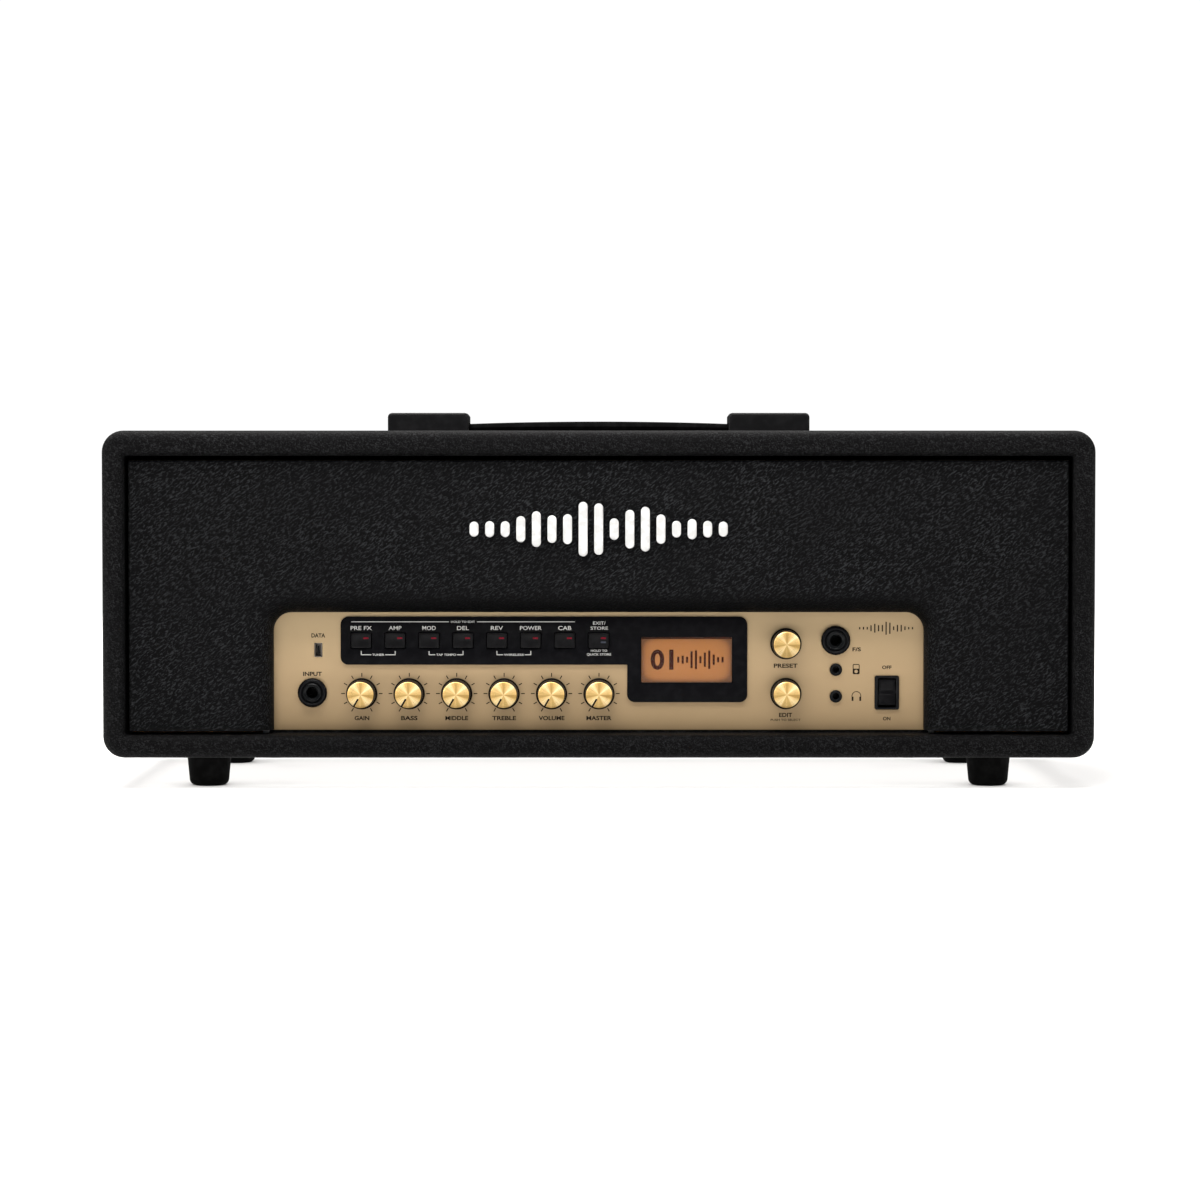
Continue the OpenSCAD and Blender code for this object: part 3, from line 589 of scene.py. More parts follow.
def spun_gold(name, centre):
    """Spun brass cap: fine rings, and painted wedges of sheen that open from the middle: a painted
    highlight and reflection in its colour.
    """
    f = Finish(name, (0.62, 0.42, 0.16), 0.3, 0.85, Anisotropic=0.7)
    offset = f.node("VectorMath", {0: f.place, 1: centre}, operation="SUBTRACT").outputs[0]
    flat = f.node("VectorMath", {0: offset, 1: (1, 0, 1)}, operation="MULTIPLY").outputs[0]
    radius = f.node("VectorMath", {0: flat}, operation="LENGTH").outputs["Value"]
    rings = f.line_noise(radius, 2600.0, 2.0)
    f.bump(rings, 0.004)
    round_axis = f.node("VectorMath", {0: flat, 1: (0, 1, 0)}, operation="CROSS_PRODUCT").outputs[0]
    unit = f.node("VectorMath", {0: round_axis}, operation="NORMALIZE").outputs[0]
    f.links.new(unit, f.shader.inputs["Tangent"])
    f.gloss(rings, 0.24, 0.36)
    # Painted highlight and reflection: bright and dark wedges of colour round the middle of the cap.
    parts = f.node("SeparateXYZ", {0: flat}).outputs
    angle = f.calc("ARCTAN2", parts[2], parts[0])
    painted_sheen_wedges = f.calc("COSINE", f.calc("MULTIPLY_ADD", angle, 4.0, math.pi))
    sweep = f.calc("MULTIPLY_ADD", painted_sheen_wedges, 0.2, f.line_noise(angle, 2.2, 4.0))
    dark, middle, bright = (0.46, 0.28, 0.085), (0.74, 0.50, 0.19), (0.95, 0.76, 0.42)
    f.paint(f.ramp(sweep, (0.25, dark), (0.5, middle), (0.8, bright)))
    return f.material


def board_finish():
    """Solder mask with traces under it."""
    f = Finish("solder_mask", (0.012, 0.10, 0.045), 0.3, Coat_Weight=0.4)
    upright = f.at(lean=(90, 0, 0))
    tracks = f.node("TexBrick", {"Vector": upright, "Scale": 160.0, "Mortar Size": 0.03}).outputs["Fac"]
    f.paint(f.blend(tracks, (0.012, 0.09, 0.04), (0.03, 0.19, 0.08)))
    f.bump(tracks, 0.03)
    f.gloss(f.noise(10), 0.22, 0.4)
    return f.material


def taped_winding():
    """Copper-brown tape wound across a toroid."""
    f = Finish("winding_tape", (0.42, 0.20, 0.06), 0.35, Coat_Weight=0.3)
    laps = f.noise(2.5, 2.0, 0.5, stretch=(1, 1, 0.15))
    f.paint(f.ramp(laps, (0.35, (0.30, 0.13, 0.04)), (0.65, (0.55, 0.30, 0.10))))
    f.bump(laps, 0.15)
    return f.material


def printed(name, color):
    """Screen-printed ink: slightly uneven, with a fine edge of texture."""
    f = Finish(name, color, 0.5, Specular_IOR_Level=0.1)
    f.paint(f.blend(f.noise(1.2, 3.0), color, tuple(c * 0.88 for c in color)))
    f.bump(f.noise(0.3, 2.0), 0.004)
    return f.material


def lit(name, color, strength):
    """A small light window: lens gloss over an even glow."""
    f = Finish(name, color, 0.25, Specular_IOR_Level=0.12)
    f.glow(f.ramp(f.noise(1.5, 2.0), (0.3, tuple(c * 0.85 for c in color)), (0.7, color)), strength)
    f.bump(f.noise(0.5), 0.01)
    return f.material


def amber_glass():
    """Backlit character display behind its window: brighter in the middle, with painted shade of the
    window's recess darkening it towards the rim.
    """
    f = Finish("amber_display", (0.75, 0.24, 0.02), 0.3)
    # Painted shade: the colour darkens towards the rim of the window.
    sides = [
        f.calc("POWER", f.calc("ABSOLUTE", f.between(axis, lo, hi, -1.0, 1.0)), steepness)
        for axis, lo, hi, steepness in ((0, window.x0, window.x1, 7.0), (2, window.z0, window.z1, 4.5))
    ]
    rim = f.calc("ADD", *sides)
    middle, near_rim, edge = (0.35, 0.145, 0.036), (0.30, 0.12, 0.028), (0.12, 0.045, 0.012)
    f.glow(f.ramp(rim, (0.0, middle), (0.45, near_rim), (1.0, edge)), 0.36)
    upright = f.at(lean=(90, 0, 0))
    dots = f.node("TexBrick", {"Vector": upright, "Scale": 700.0, "Mortar Size": 0.02}).outputs["Fac"]
    f.bump(dots, 0.01)
    return f.material


def clear_pane():
    """Clear window with faint wiping marks in its gloss."""
    f = Finish("clear_pane", (0.94, 0.90, 0.86), 0.05, Transmission_Weight=1.0, IOR=1.2)
    f.gloss(f.noise(12, 4.0, 0.6, stretch=(0.3, 1, 1)), 0.03, 0.10)
    f.bump(f.noise(20, 2.0), 0.004)
    return f.material


# The second colour of each grain is the painted highlight along its crests.
VINYL = grained_vinyl(
    "cabinet_grain", (0.0012, 0.0012, 0.0014), (0.0165, 0.017, 0.018), 1.1, 0.35, -20, 1.3, 1.4, 0.06
)
FRONT_VINYL = grained_vinyl(
    "baffle_grain", (0.0012, 0.0013, 0.0015), (0.018, 0.019, 0.0205), 0.9, 0.35, 36, 2.8, 0.5, 0.06, True
)
PLY = wood()
WHITE = moulded("badge_enamel", (0.49, 0.49, 0.485), 0.3, coat=0.1, depth=0.004)
FOOT = moulded("rubber_foot", (0.0016, 0.0016, 0.0016), 0.7, depth=0.02, Specular_IOR_Level=0.03)
STRAP = moulded(
    "rubber_strap", (0.002, 0.002, 0.0022), 0.75, grain=0.5, depth=0.02, Specular_IOR_Level=0.02
)
CAP_PLASTIC = moulded("cap_plastic", (0.005, 0.005, 0.0055), 0.34, Specular_IOR_Level=0.15)
BEZEL = moulded(
    "fascia_plastic", (0.002, 0.002, 0.0027), 0.4, grain=0.35, depth=0.006, Specular_IOR_Level=0.05
)
BUTTON = moulded("button_plastic", (0.0035, 0.0035, 0.004), 0.34, depth=0.005)
KNOB = moulded("knob_plastic", (0.004, 0.0035, 0.003), 0.3, depth=0.004)
GLOSSY = moulded("switch_gloss_black", (0.0035, 0.0035, 0.004), 0.2, depth=0.003)
JACK = moulded("jack_plastic", (0.0035, 0.004, 0.0045), 0.2, depth=0.003)
INLET = moulded("inlet_plastic", (0.012, 0.012, 0.0125), 0.4)
SWITCH = moulded("tact_plastic", (0.03, 0.03, 0.032), 0.45)
SLIDER = moulded("slider_plastic", (0.72, 0.72, 0.70), 0.4)
DARK_STEEL = worked_metal("black_screw_steel", (0.05, 0.05, 0.052), 0.32, depth=0.004)
NUT = worked_metal("nut_steel", (0.62, 0.62, 0.60), 0.3)
TRAY = worked_metal("plated_steel", (0.58, 0.59, 0.60), 0.36, stretch=(0.1, 1, 1))
CONTROL = worked_metal("control_steel", (0.50, 0.50, 0.49), 0.33)
HEATSINK = worked_metal("extruded_alloy", (0.36, 0.37, 0.38), 0.38, stretch=(0.08, 1, 1))
PORT = worked_metal("port_plating", (0.70, 0.70, 0.68), 0.28)
DATA_METAL = worked_metal("data_port_plating", (0.20, 0.18, 0.16), 0.3)
POWDER = moulded("powder_coat", (0.011, 0.011, 0.0115), 0.5, grain=0.55, depth=0.035)
GOLD = gold_panel()
BOARD = board_finish()
WINDING = taped_winding()
AMBER = amber_glass()
CLEAR = clear_pane()
RED = lit("lamp_red", (0.13, 0.004, 0.012), 0.05)
SLATE = lit("lamp_slate", (0.045, 0.05, 0.065), 0.03)
PRINT_WHITE = printed("print_white", (0.56, 0.56, 0.54))
PRINT_DARK = printed("print_brown", (0.014, 0.009, 0.006))
# Maroon ink of the display, also used for its painted shadow line.
MAROON_INK_AND_SHADOW = printed("display_ink_and_shadow", (0.045, 0.007, 0.004))


# ---- cabinet


def sleeve_section(width, y0, y1, inset):
    """Round-edged section of one board: u runs from the outside of the sleeve to its inside."""
    outer, inner = NOSE_R - inset, LIP_R - inset
    u0, u1, v0, v1 = inset, width - inset, y0 + inset, y1 - inset
    return fillet([(u0, v0), (u1, v0), (u1, v1), (u0, v1)], [outer, inner, inner, outer], 7)


def covering_section(width, y0, y1):
    """The covering's thin section: round the board edges, and a way back down both inner walls."""
    steps = 8
    front_end, back_end = baffle.y1 - 0.3, rear.y0 + 0.3
    faces = []
    for inset in (0.0, VINYL_T - 0.05):
        loop = sleeve_section(width, y0, y1, inset)
        order = loop[steps * 3 :] + loop[: steps * 3]
        inner_rear, rest = order[-steps:], order[:-steps]
        face = [(width - inset, back_end)] + inner_rear + rest + [(width - inset, front_end)]
        faces.append(face)
    return faces[0] + faces[1][::-1]


def sleeve_ring(name, section, material):
    """Sweeps a board section round the sleeve; section(width) gives its (u, y) points."""
    outer = rounded_box(sleeve.x0, sleeve.z0, sleeve.x1, sleeve.z1, CORNER_R, 9)
    inner = rounded_box(
        sleeve.x0 + SIDE_W, sleeve.z0 + BOTTOM_W, sleeve.x1 - SIDE_W, sleeve.z1 - TOP_W, 1.2, 9
    )
    pairs = []
    for k, (a, b) in enumerate(zip(outer, inner)):
        pairs.append((Vector(a), Vector(b)))
        if k % 10 == 9:
            c, d = Vector(outer[(k + 1) % len(outer)]), Vector(inner[(k + 1) % len(inner)])
            runs = 24 if abs(c.x - a[0]) > abs(c.y - a[1]) else 10
            pairs += [(Vector(a).lerp(c, t / runs), Vector(b).lerp(d, t / runs)) for t in range(1, runs)]
    verts = []
    for a, b in pairs:
        width = (b - a).length
        way = (b - a).normalized()
        points = section(width)
        verts += [((a + way * u).x, y, (a + way * u).y) for u, y in points]
    faces = grid_faces(len(pairs), len(points), wrap_rows=True, wrap_cols=True)
    return finish_mesh(name, verts, faces, material)


def gap_strips():
    """Covering seen in the gaps round the baffle and round the rear panel, and dark covering that fills the
    gaps under the panel and the rear panel and stands in for the shade there.
    """
    front, back = baffle.y1 - 0.6, baffle.y1 - 0.05
    wall_x, wall_z = sleeve.x1 - SIDE_W + 0.1, sleeve.z1 - TOP_W + 0.1
    foot_z = sleeve.z0 + BOTTOM_W
    strips = [block("strip", -wall_x, front, baffle.z1 + 0.1, wall_x, back, wall_z, 0.1, VINYL, 1)]
    for x0, x1 in ((-wall_x, baffle.x0 - 0.1), (baffle.x1 + 0.1, wall_x)):
        strips.append(block("strip", x0, front, foot_z, x1, back, baffle.z1, 0.1, VINYL, 1))
    # Painted shade: dark covering fills the gap under the panel in place of its shade.
    gap_shade_filler = (panel.x0, panel.y0 + 0.3, foot_z - 0.1, panel.x1, panel.y1 - 0.05, panel.z0 - 0.05)
    strips.append(block("gap_shade_filler", *gap_shade_filler, 0.05, VINYL, 1))
    front, back = rear.y0 + 0.05, rear.y0 + 0.6
    strips.append(block("strip", -wall_x, front, rear.z1 + 0.1, wall_x, back, wall_z, 0.1, VINYL, 1))
    # Painted shade: dark covering fills the gap under the rear panel in place of its shade.
    strips.append(block("gap_shade_filler", -wall_x, front, foot_z - 0.1, wall_x, back, rear.z0 - 0.1, 0.1, VINYL, 1))
    for x0, x1 in ((-wall_x, rear.x0 - 0.1), (rear.x1 + 0.1, wall_x)):
        strips.append(block("strip", x0, front, rear.z0 - 0.1, x1, back, rear.z1 + 0.1, 0.1, VINYL, 1))
    return strips


def make_cabinet():
    """The boards with their cleats, and the covering wrapped round them."""
    y0, y1 = sleeve.y0, sleeve.y1
    covering = sleeve_ring("sleeve_wrap", lambda w: covering_section(w, y0, y1), VINYL)
    assemble("sleeve_covering", [covering, *gap_strips()], CABINET, "cabinet_vinyl", "vinyl_covering")
    boards = sleeve_ring("sleeve_boards", lambda w: sleeve_section(w, y0, y1, VINYL_T), PLY)
    cleats = []
    inner_x = sleeve.x1 - SIDE_W + VINYL_T - 0.1
    inner_z = sleeve.z1 - TOP_W + VINYL_T - 0.1
    low, high = 40, 188
    for near, far in ((baffle.y1, baffle.y1 + CLEAT_W), (rear.y0 - CLEAT_W, rear.y0)):
        for side in (-1, 1):
            xs = sorted((side * inner_x, side * (inner_x - CLEAT_W)))
            cleats.append(block("cleat", xs[0], near, low, xs[1], far, high, 0.8, PLY))
        cleats.append(block("cleat", -inner_x, near, high + 0.1, inner_x, far, inner_z, 0.8, PLY))
    assemble("cabinet_boards", [boards, *cleats], CABINET, "plywood", "cabinet_carcass")


def swept(stations, profile):
    """Points of a profile (u, y) carried along stations of (point, way that u runs)."""
    return [(x + dx * u, y, z + dz * u) for (x, z), (dx, dz) in stations for u, y in profile]


def bend(centre, r, a0, a1, steps, way):
    """Stations round a corner; way is 1 if u runs away from the centre and -1 if towards it."""
    angles = [math.radians(a0 + (a1 - a0) * k / steps) for k in range(steps + 1)]
    spots = [(math.cos(a), math.sin(a)) for a in angles]
    return [((centre[0] + r * c, centre[1] + r * s), (way * c, way * s)) for c, s in spots]


def straight(a, b, steps, way):
    """Stations between two points, both ends left out."""
    a, b = Vector(a), Vector(b)
    return [(tuple(a.lerp(b, k / steps)), way) for k in range(1, steps)]


def opening_stations():
    """Up the left side of the baffle's opening, over it and down its right side."""
    half, top, r, foot = OPENING_HALF, OPENING_Z, OPENING_R, baffle.z0
    left = bend((-half + r, top - r), r, 180, 90, 8, 1)
    right = bend((half - r, top - r), r, 90, 0, 8, 1)
    rise = [((-half, foot), (-1, 0))] + straight((-half, foot), (-half, top - r), 6, (-1, 0))
    fall = straight((half, top - r), (half, foot), 6, (1, 0)) + [((half, foot), (1, 0))]
    return rise + left + straight((-half + r, top), (half - r, top), 20, (0, 1)) + right + fall


def rim_stations():
    """Up the right edge of the baffle, over the top and down the left edge."""
    x0, x1, z0, z1, r = baffle.x0, baffle.x1, baffle.z0, baffle.z1, RIM_R
    right = bend((x1 - r, z1 - r), r, 0, 90, 6, -1)
    left = bend((x0 + r, z1 - r), r, 90, 180, 6, -1)
    return [((x1, z0), (-1, 0))] + right + left + [((x0, z0), (1, 0))]


def make_baffle():
    """Skin of the baffle: its rolled opening, its flat front and its round outer edge."""
    face_y, back_y, flat_margin = baffle.y0, baffle.y1, 0.08
    verts, faces, ends = [], [], []
    for stations, r in ((rim_stations(), EDGE_R), (opening_stations(), TUNNEL_R)):
        profile = [(0.0, back_y)] + [(u, face_y + v) for u, v in arc(r, r, r, 180, 270, 12)]
        profile.append((r + flat_margin, face_y))
        start, cols = len(verts), len(profile)
        verts += swept(stations, profile)
        faces += [tuple(start + i for i in face) for face in grid_faces(len(stations), cols)]
        ends.append([start + k * cols + cols - 1 for k in range(len(stations))])
    faces.append(tuple(ends[0] + ends[1]))
    skin = finish_mesh("baffle_skin", verts, faces, FRONT_VINYL)
    thick = skin.modifiers.new("thickness", "SOLIDIFY")
    thick.thickness = (VINYL_T - 0.05) * MM
    thick.offset = -1
    place(settle(skin), CABINET, "baffle_vinyl", "baffle_covering")


def wave(i, count):
    """Height from 0 to 1 of line i in a row of count: low at both ends, and uneven between."""
    return math.sin(math.pi * i / (count - 1)) ** 2 * abs(math.cos(math.radians(i * 49)))


def make_badge():
    """White badge: upright bars with round ends, whose lengths follow a wave."""
    bars = []
    badge = Span("badge")
    bar_w, pitch, count = 5.4, 9.4, 17
    for i in range(count):
        length = 9 + 26 * wave(i, count)
        x = badge.x + (i - (count - 1) / 2) * pitch
        outline = rounded(x, badge.z, bar_w / 2, length / 2, bar_w / 2 - 0.01, 10)
        bars.append(plate("bar", [outline], badge.y0, badge.y1, 0.7, WHITE, 4))
    assemble("badge_bars", bars, CABINET, "badge_white", "badge")


# ---- feet and handle


def make_feet():
    """Tapered rubber feet with a round lower edge and a well for the screw."""
    feet = Span("rubber_feet")
    r, h, taper, edge, well = 14.2, feet.z1, 2.1, 4.0, 7.0
    low = r - taper
    rolled = arc(low - edge, edge, edge, -90, 0, 7)
    profile = [(2.6, 8), (well, 8), (well, 0.8), (well + 0.8, 0)] + rolled
    profile += [(r - 0.9, h - 2.2), (r - 0.2, h - 1.4), (r, h - 0.6), (r - 0.3, h), (2.6, h)]
    made = []
    for sx in (-1, 1):
        for sy in (-1, 1):
            spot = (sx * (feet.x1 - r), sy * (feet.y1 - r), 0)
            made.append(turn("foot", profile, spot, "+z", FOOT, 48))
    assemble("feet", made, CABINET, "foot_rubber", "rubber_feet")


def cap_outline(x0, x1, z0, z1):
    """Side view of an end cap: a small chamfer towards the grip and a round far shoulder."""
    points = [(x0, z0), (x0, z1 - 2.2), (x0 + 1.8, z1), (x1, z1), (x1, z0)]
    return fillet(points, [1.3, 1.3, 1.3, 2.8, 1.3], 5)


def make_handle_caps():
    """Moulded end caps with a soft edge, a mouth for the strap and a screw counterbore."""
    caps = Span("handle_caps")
    z0, z1, length = caps.z0, caps.z1, 51.0
    strap_half = Span("handle_strap").y1
    made = []
    for side in (-1, 1):
        x0 = caps.x1 - length
        shell = plate("cap", [cap_outline(x0, caps.x1, z0 - 3, z1)], caps.y0, caps.y1, 1.2, CAP_PLASTIC, 4)
        if side < 0:
            mirror(shell, 0)
        xs = sorted((side * (x0 - 2), side * (caps.x1 - 2.5)))
        boss = side * (caps.x1 - 14)
        mouth_y = strap_half + 0.6
        mouth = block("mouth", xs[0], -mouth_y, z0 - 4, xs[1], mouth_y, z0 + 5.8, 0.6, CAP_PLASTIC)
        well = turn("well", rod(3.45, 0, 8), (boss, 0, z0 + 7), "+z", CAP_PLASTIC, 40)
        under = block("under", -200, -60, z0 - 10, 200, 60, z0, 0.01, CAP_PLASTIC, 1)
        shell = cut(shell, mouth, well, under)
        post = [(3.6, 0), (3.6, 6.6), (2.1, 6.6), (2.1, 0)]
        made += [shell, turn("post", post, (boss, 0, z0), "+z", CAP_PLASTIC, 32)]
    assemble("end_caps", made, CABINET, "cap_plastic", "handle_caps")


def strap_loop(z_mid, half_w, t):
    """Section of the strap across Y: flat, with rolled edges and a shallow groove near each."""
    steps, groove_at, groove_depth = 28, half_w * 0.68, 0.35
    top = []
    for k in range(steps + 1):
        y = -half_w + 2 * half_w * k / steps
        from_edge = min((half_w - abs(y)) / (t / 2), 1)
        roll = math.sqrt(max(0.0, 1 - (1 - from_edge) ** 2))
        groove = groove_depth * math.exp(-((abs(y) - groove_at) ** 2) / 0.5)
        top.append((y, max((t / 2) * roll - groove, 0.05)))
    upper = [(y, z_mid + h) for y, h in top]
    lower = [(y, z_mid - h) for y, h in reversed(top[1:-1])]
    return upper + lower


def make_strap():
    """Strap in two halves, which meet in the plane x = 0.

    It is flat below and thicker in the middle. Each half has the slot that slides along the post
    of its end cap.
    """
    strap = Span("handle_strap")
    cap_x, grip_x, bow = 82.0, 32.0, 1.5
    runs, t = 60, 5.0
    slot_half, post_x = 4.2, strap.x1 - 9.5
    for side, name in ((-1, "strap_left"), (1, "strap_right")):
        verts = []
        for k in range(runs + 1):
            x = side * strap.x1 * k / runs
            rise = bow * max(0.0, 1 - (x / cap_x) ** 2)
            under, thick = strap.z0 + 0.1 * rise, t + 0.9 * rise
            half_w = strap.y1 * (1 - 0.04 * math.exp(-(((abs(x) - cap_x) / 6) ** 2)))
            verts += [(x, y, z) for y, z in strap_loop(under + thick / 2, half_w, thick)]
        cols = len(verts) // (runs + 1)
        faces = grid_faces(runs + 1, cols, wrap_cols=True)
        faces += [tuple(range(cols)), tuple(reversed(range(runs * cols, (runs + 1) * cols)))]
        half = finish_mesh(name, verts, faces, STRAP)
        xs = sorted((side * (post_x - slot_half), side * (strap.x1 - 0.5)))
        low, high = strap.z0 - 1, strap.z0 + t + 2
        half = cut(half, block("slot", xs[0], -slot_half, low, xs[1], slot_half, high, 0.3, STRAP, 2))
        open_end(half)
        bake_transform(half)
        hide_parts("handle_strap")


def open_end(half):
    """Takes away the face in the plane x = 0, where the other half carries on."""
    bm = bmesh.new()
    bm.from_mesh(half.data)
    inner = [f for f in bm.faces if all(abs(v.co.x) < 0.001 * MM for v in f.verts)]
    bmesh.ops.delete(bm, geom=inner, context="FACES")
    bm.to_mesh(half.data)
    bm.free()


# ---- front panel

FASCIA_R = 4.6
STRIP_Z0 = 74.5
DISPLAY_X0 = 17.4
KEY_INSET = 1.2
SLOT_ROOM = 0.25


def around(span, room, r, steps=4):
    """A rounded rectangle outside a node's front view by room, or inside it if room is negative."""
    return rounded_box(span.x0 - room, span.z0 - room, span.x1 + room, span.z1 + room, r, steps)


def make_fascia():
    """Black fascia round the buttons and the display, with soft edges."""
    left = [(bezel.x0, STRIP_Z0), (DISPLAY_X0, STRIP_Z0), (DISPLAY_X0, bezel.z0)]
    corners = left + [(bezel.x1, bezel.z0), (bezel.x1, bezel.z1), (bezel.x0, bezel.z1)]
    outline = fillet(corners, [FASCIA_R, 0.4] + [FASCIA_R] * 4, 8)
    holes = [around(b, SLOT_ROOM - KEY_INSET, 0.9) for b in BUTTONS]
    holes.append(around(window, 0.15, 0.5))
    fascia = plate("fascia", [outline, *holes], bezel.y0, bezel.y1, 0.35, BEZEL)
    place(fascia, CABINET, "bezel_black", "button_bezel")


def make_display():
    """Amber face of the display with a preset number and a level curve drawn in its ink, and a painted
    shadow line under the top of the window.
    """
    face_y = window.y1 + 0.12
    face = plate("display_face", [around(window, 0.4, 0.4)], face_y, face_y + 0.16, 0.04, AMBER)
    place(face, CABINET, "display_amber")
    ink_y = face_y - 0.005
    marks = [text("01", window.x0 + 12.5, window.z, 12.0, ink_y, MAROON_INK_AND_SHADOW, 14.0, 0.04)]
    count, pitch = 11, 2.7
    for i in range(count):
        x = window.x1 - 5.5 - (count - 1 - i) * pitch
        tall = 2.0 + 11.0 * math.sin(math.pi * (i + 0.5) / count) * abs(math.cos(i * 0.9))
        marks.append(stroke(x, window.z - tall / 2, x, window.z + tall / 2, 1.3, ink_y, MAROON_INK_AND_SHADOW))
    # Painted shadow: a dark line under the top edge of the window, drawn in the display ink.
    line_z = window.z1 - 0.55
    marks.append(stroke(window.x0, line_z, window.x1, line_z, 0.8, ink_y, MAROON_INK_AND_SHADOW))
    place(join("display_ink_and_shadow", marks), CABINET, "display_amber")
    pane = plate("display_pane", [around(window, 0, 0.4)], window.y0, window.y1, 0.12, CLEAR)
    place(pane, CABINET, "window_clear", "display_window")


def make_button(i, b):
    """Key cap with rolled edges and a dished face, its rim and stem, and the lamp in its corner."""
    body = f"button_{i + 1}"
    rim_y = bezel.y1 + 2.9
    cap = plate("cap", [around(b, -KEY_INSET, 0.9)], b.y0, rim_y, 0.55, BUTTON)
    hollow = [(0, 0.32), (2.2, 0.25), (4.4, 0.0), (4.4, -2), (0, -2)]
    dish = turn("dish", hollow, (0, 0, 0), "+y", BUTTON, 32)
    dish.data.transform(Matrix.Diagonal((1.22, 1, 0.86, 1)))
    cap = cut(cap, move(dish, b.x, b.y0, b.z))
    rim = plate("rim", [around(b, 0, 0.6, 3)], rim_y, rim_y + 1.0, 0.15, BUTTON)
    stem_profile = [(0, 0), (1.7, 0), (1.7, 2), (1.7, b.y1 - rim_y)]
    stem = turn("stem", stem_profile, (b.x, rim_y, b.z), "+y", BUTTON, 24)
    assemble(f"key_{i + 1}", [cap, rim, stem], body, "button_black", body)
    lamps = [("red", 1.5, RED)] + ([("slate", -1.0, SLATE)] if i == len(BUTTONS) - 1 else [])
    for colour, up, finish in lamps:
        x, z = b.x + 2.9, b.z + up
        outline, face_y = rounded(x, z, 1.6, 0.55, 0.3), b.y0 + 0.02
        lamp = plate(f"lamp_{colour}_{i + 1}", [outline], face_y, b.y0 + 0.9, 0.08, finish)
        place(lamp, body, "button_black")


POINTER_ANGLE = 210


def knob_body_profile(k):
    """Skirt, shoulder and tapered grip, from the bore at the back round to the front face."""
    back = panel.y0 - 0.5
    tall = back - k.y0
    skirt = [(6.2, 0.6), (6.2, 0.0), (9.1, 0.0), (9.55, 0.5), (9.55, 2.2), (8.75, 3.1), (8.45, 11.9)]
    grip = [(8.42, 12.0), (8.32, tall - 0.1), (7.9, tall + 0.06), (0.0, tall)]
    return back, tall, soften(skirt, 0.4, 3) + soften(grip, 0.35, 4)


def make_knob(name, k, body, cap_node, replaced, pointer):
    """Fluted black knob with a spun gold cap; a pot knob's cap has a slot that points."""
    back, tall, profile = knob_body_profile(k)
    centre = (k.x, back, k.z)
    grip = turn(f"{name}_grip", profile, centre, "-y", KNOB, 192, 48, 0.32, (3.2, tall - 1.6))
    reach = k.y1 - back
    rounded_rod = [(0, -reach), (2.6, -reach), (3, -reach + 0.5), (3, 8), (0, 8)]
    shaft = turn(f"{name}_shaft", rounded_rod, centre, "-y", CONTROL, 32)
    place(grip, body, "knob_black", replaced)
    place(shaft, body, "knob_black")
    c = Span(cap_node)
    r, t = c.x1 - c.x, c.y1 - c.y0
    edge = [(r - 0.2, 0), (r, 0.25), (r, t - 0.42), (r - 0.55, t - 0.02), (r - 1.1, t - 0.16)]
    lens = soften([(0, 0), *edge, (0, t - 0.2)], 0.2, 3)
    finish = spun_gold(f"spun_gold_{name}", (k.x * MM, c.y0 * MM, k.z * MM))
    disc = turn(f"{name}_disc", lens, (c.x, c.y1, c.z), "-y", finish, 128)
    if pointer:
        slot = block("slot", -0.55, c.y0 - 1, r * 0.35, 0.55, c.y1 + 1, r + 1, 0.1, finish, 1)
        spin(slot, POINTER_ANGLE, "Y").data.transform(Matrix.Translation((c.x * MM, 0, c.z * MM)))
        disc = cut(disc, slot)
    place(disc, body, "cap_gold", cap_node)


def make_knobs():
    """Six pots and two encoders."""
    for i, k in enumerate(KNOBS):
        name = f"knob_{i + 1}"
        make_knob(name, k, name, f"knob_cap_{i + 1}", name, True)
    for name, k in ENCODERS.items():
        make_knob(name, k, f"{name}_knob", f"{name}_cap", f"{name}_knob", False)


# ---- sockets and switch

INSTRUMENT_JACK = (-174.6, 57.4)
FOOTSWITCH_JACK = (144.5, 89.3)
AUX_JACK = (144.7, 71.4)
PHONES_JACK = (144.7, 55.1)
SPEAKER_JACKS = ((80, 66), (115, 66))
DATA_AT = (-171, 83.4)
SWITCH_AT = (175.8, 57.4)
JACK_R = 3.25
NOSE = 5.7
NUT_R = 9.0
PANEL_WALL = 2.7
REAR_WALL = 1.5


def jack_parts(at, face, out, wall):
    """Threaded nose, body and lining of a quarter-inch socket, and its ring nut."""
    spot = (at[0], face, at[1])
    deep = -wall - 22
    thread = [(NOSE - (0.22 if k % 2 else 0.0), -wall + 0.3 * k) for k in range(1, 14)]
    bore = [(JACK_R, deep), (JACK_R, 3.3), (JACK_R + 0.5, 4.1)]
    nose = soften([*bore, (NOSE - 1.15, 4.25), (NOSE - 0.55, 4.6), (NOSE, 4.2)], 0.25, 3)
    back = [(NOSE, -wall - 0.4), (9.0, -wall - 0.4), (9.0, deep - 1.9), (JACK_R, deep - 1.9)]
    body = turn("jack", nose + thread[::-1] + back, spot, out, JACK, 48)
    floor = turn("jack_end", rod(JACK_R, deep, deep - 1), spot, out, JACK, 24)
    rim = [(NUT_R - 0.3, 0.0), (NUT_R, 0.4), (NUT_R, 2.5), (NUT_R - 1.0, 3.7)]
    inside = [(NOSE + 1.4, 4.0), (NOSE + 0.5, 3.3), (NOSE + 0.05, 3.2)]
    nut = soften([(NOSE + 0.05, 0.0), *rim, *inside], 0.5, 4)
    ring = turn("jack_nut", nut, spot, out, GLOSSY, 96, 24, 0.12, (0.3, 2.6))
    return [body, floor], ring


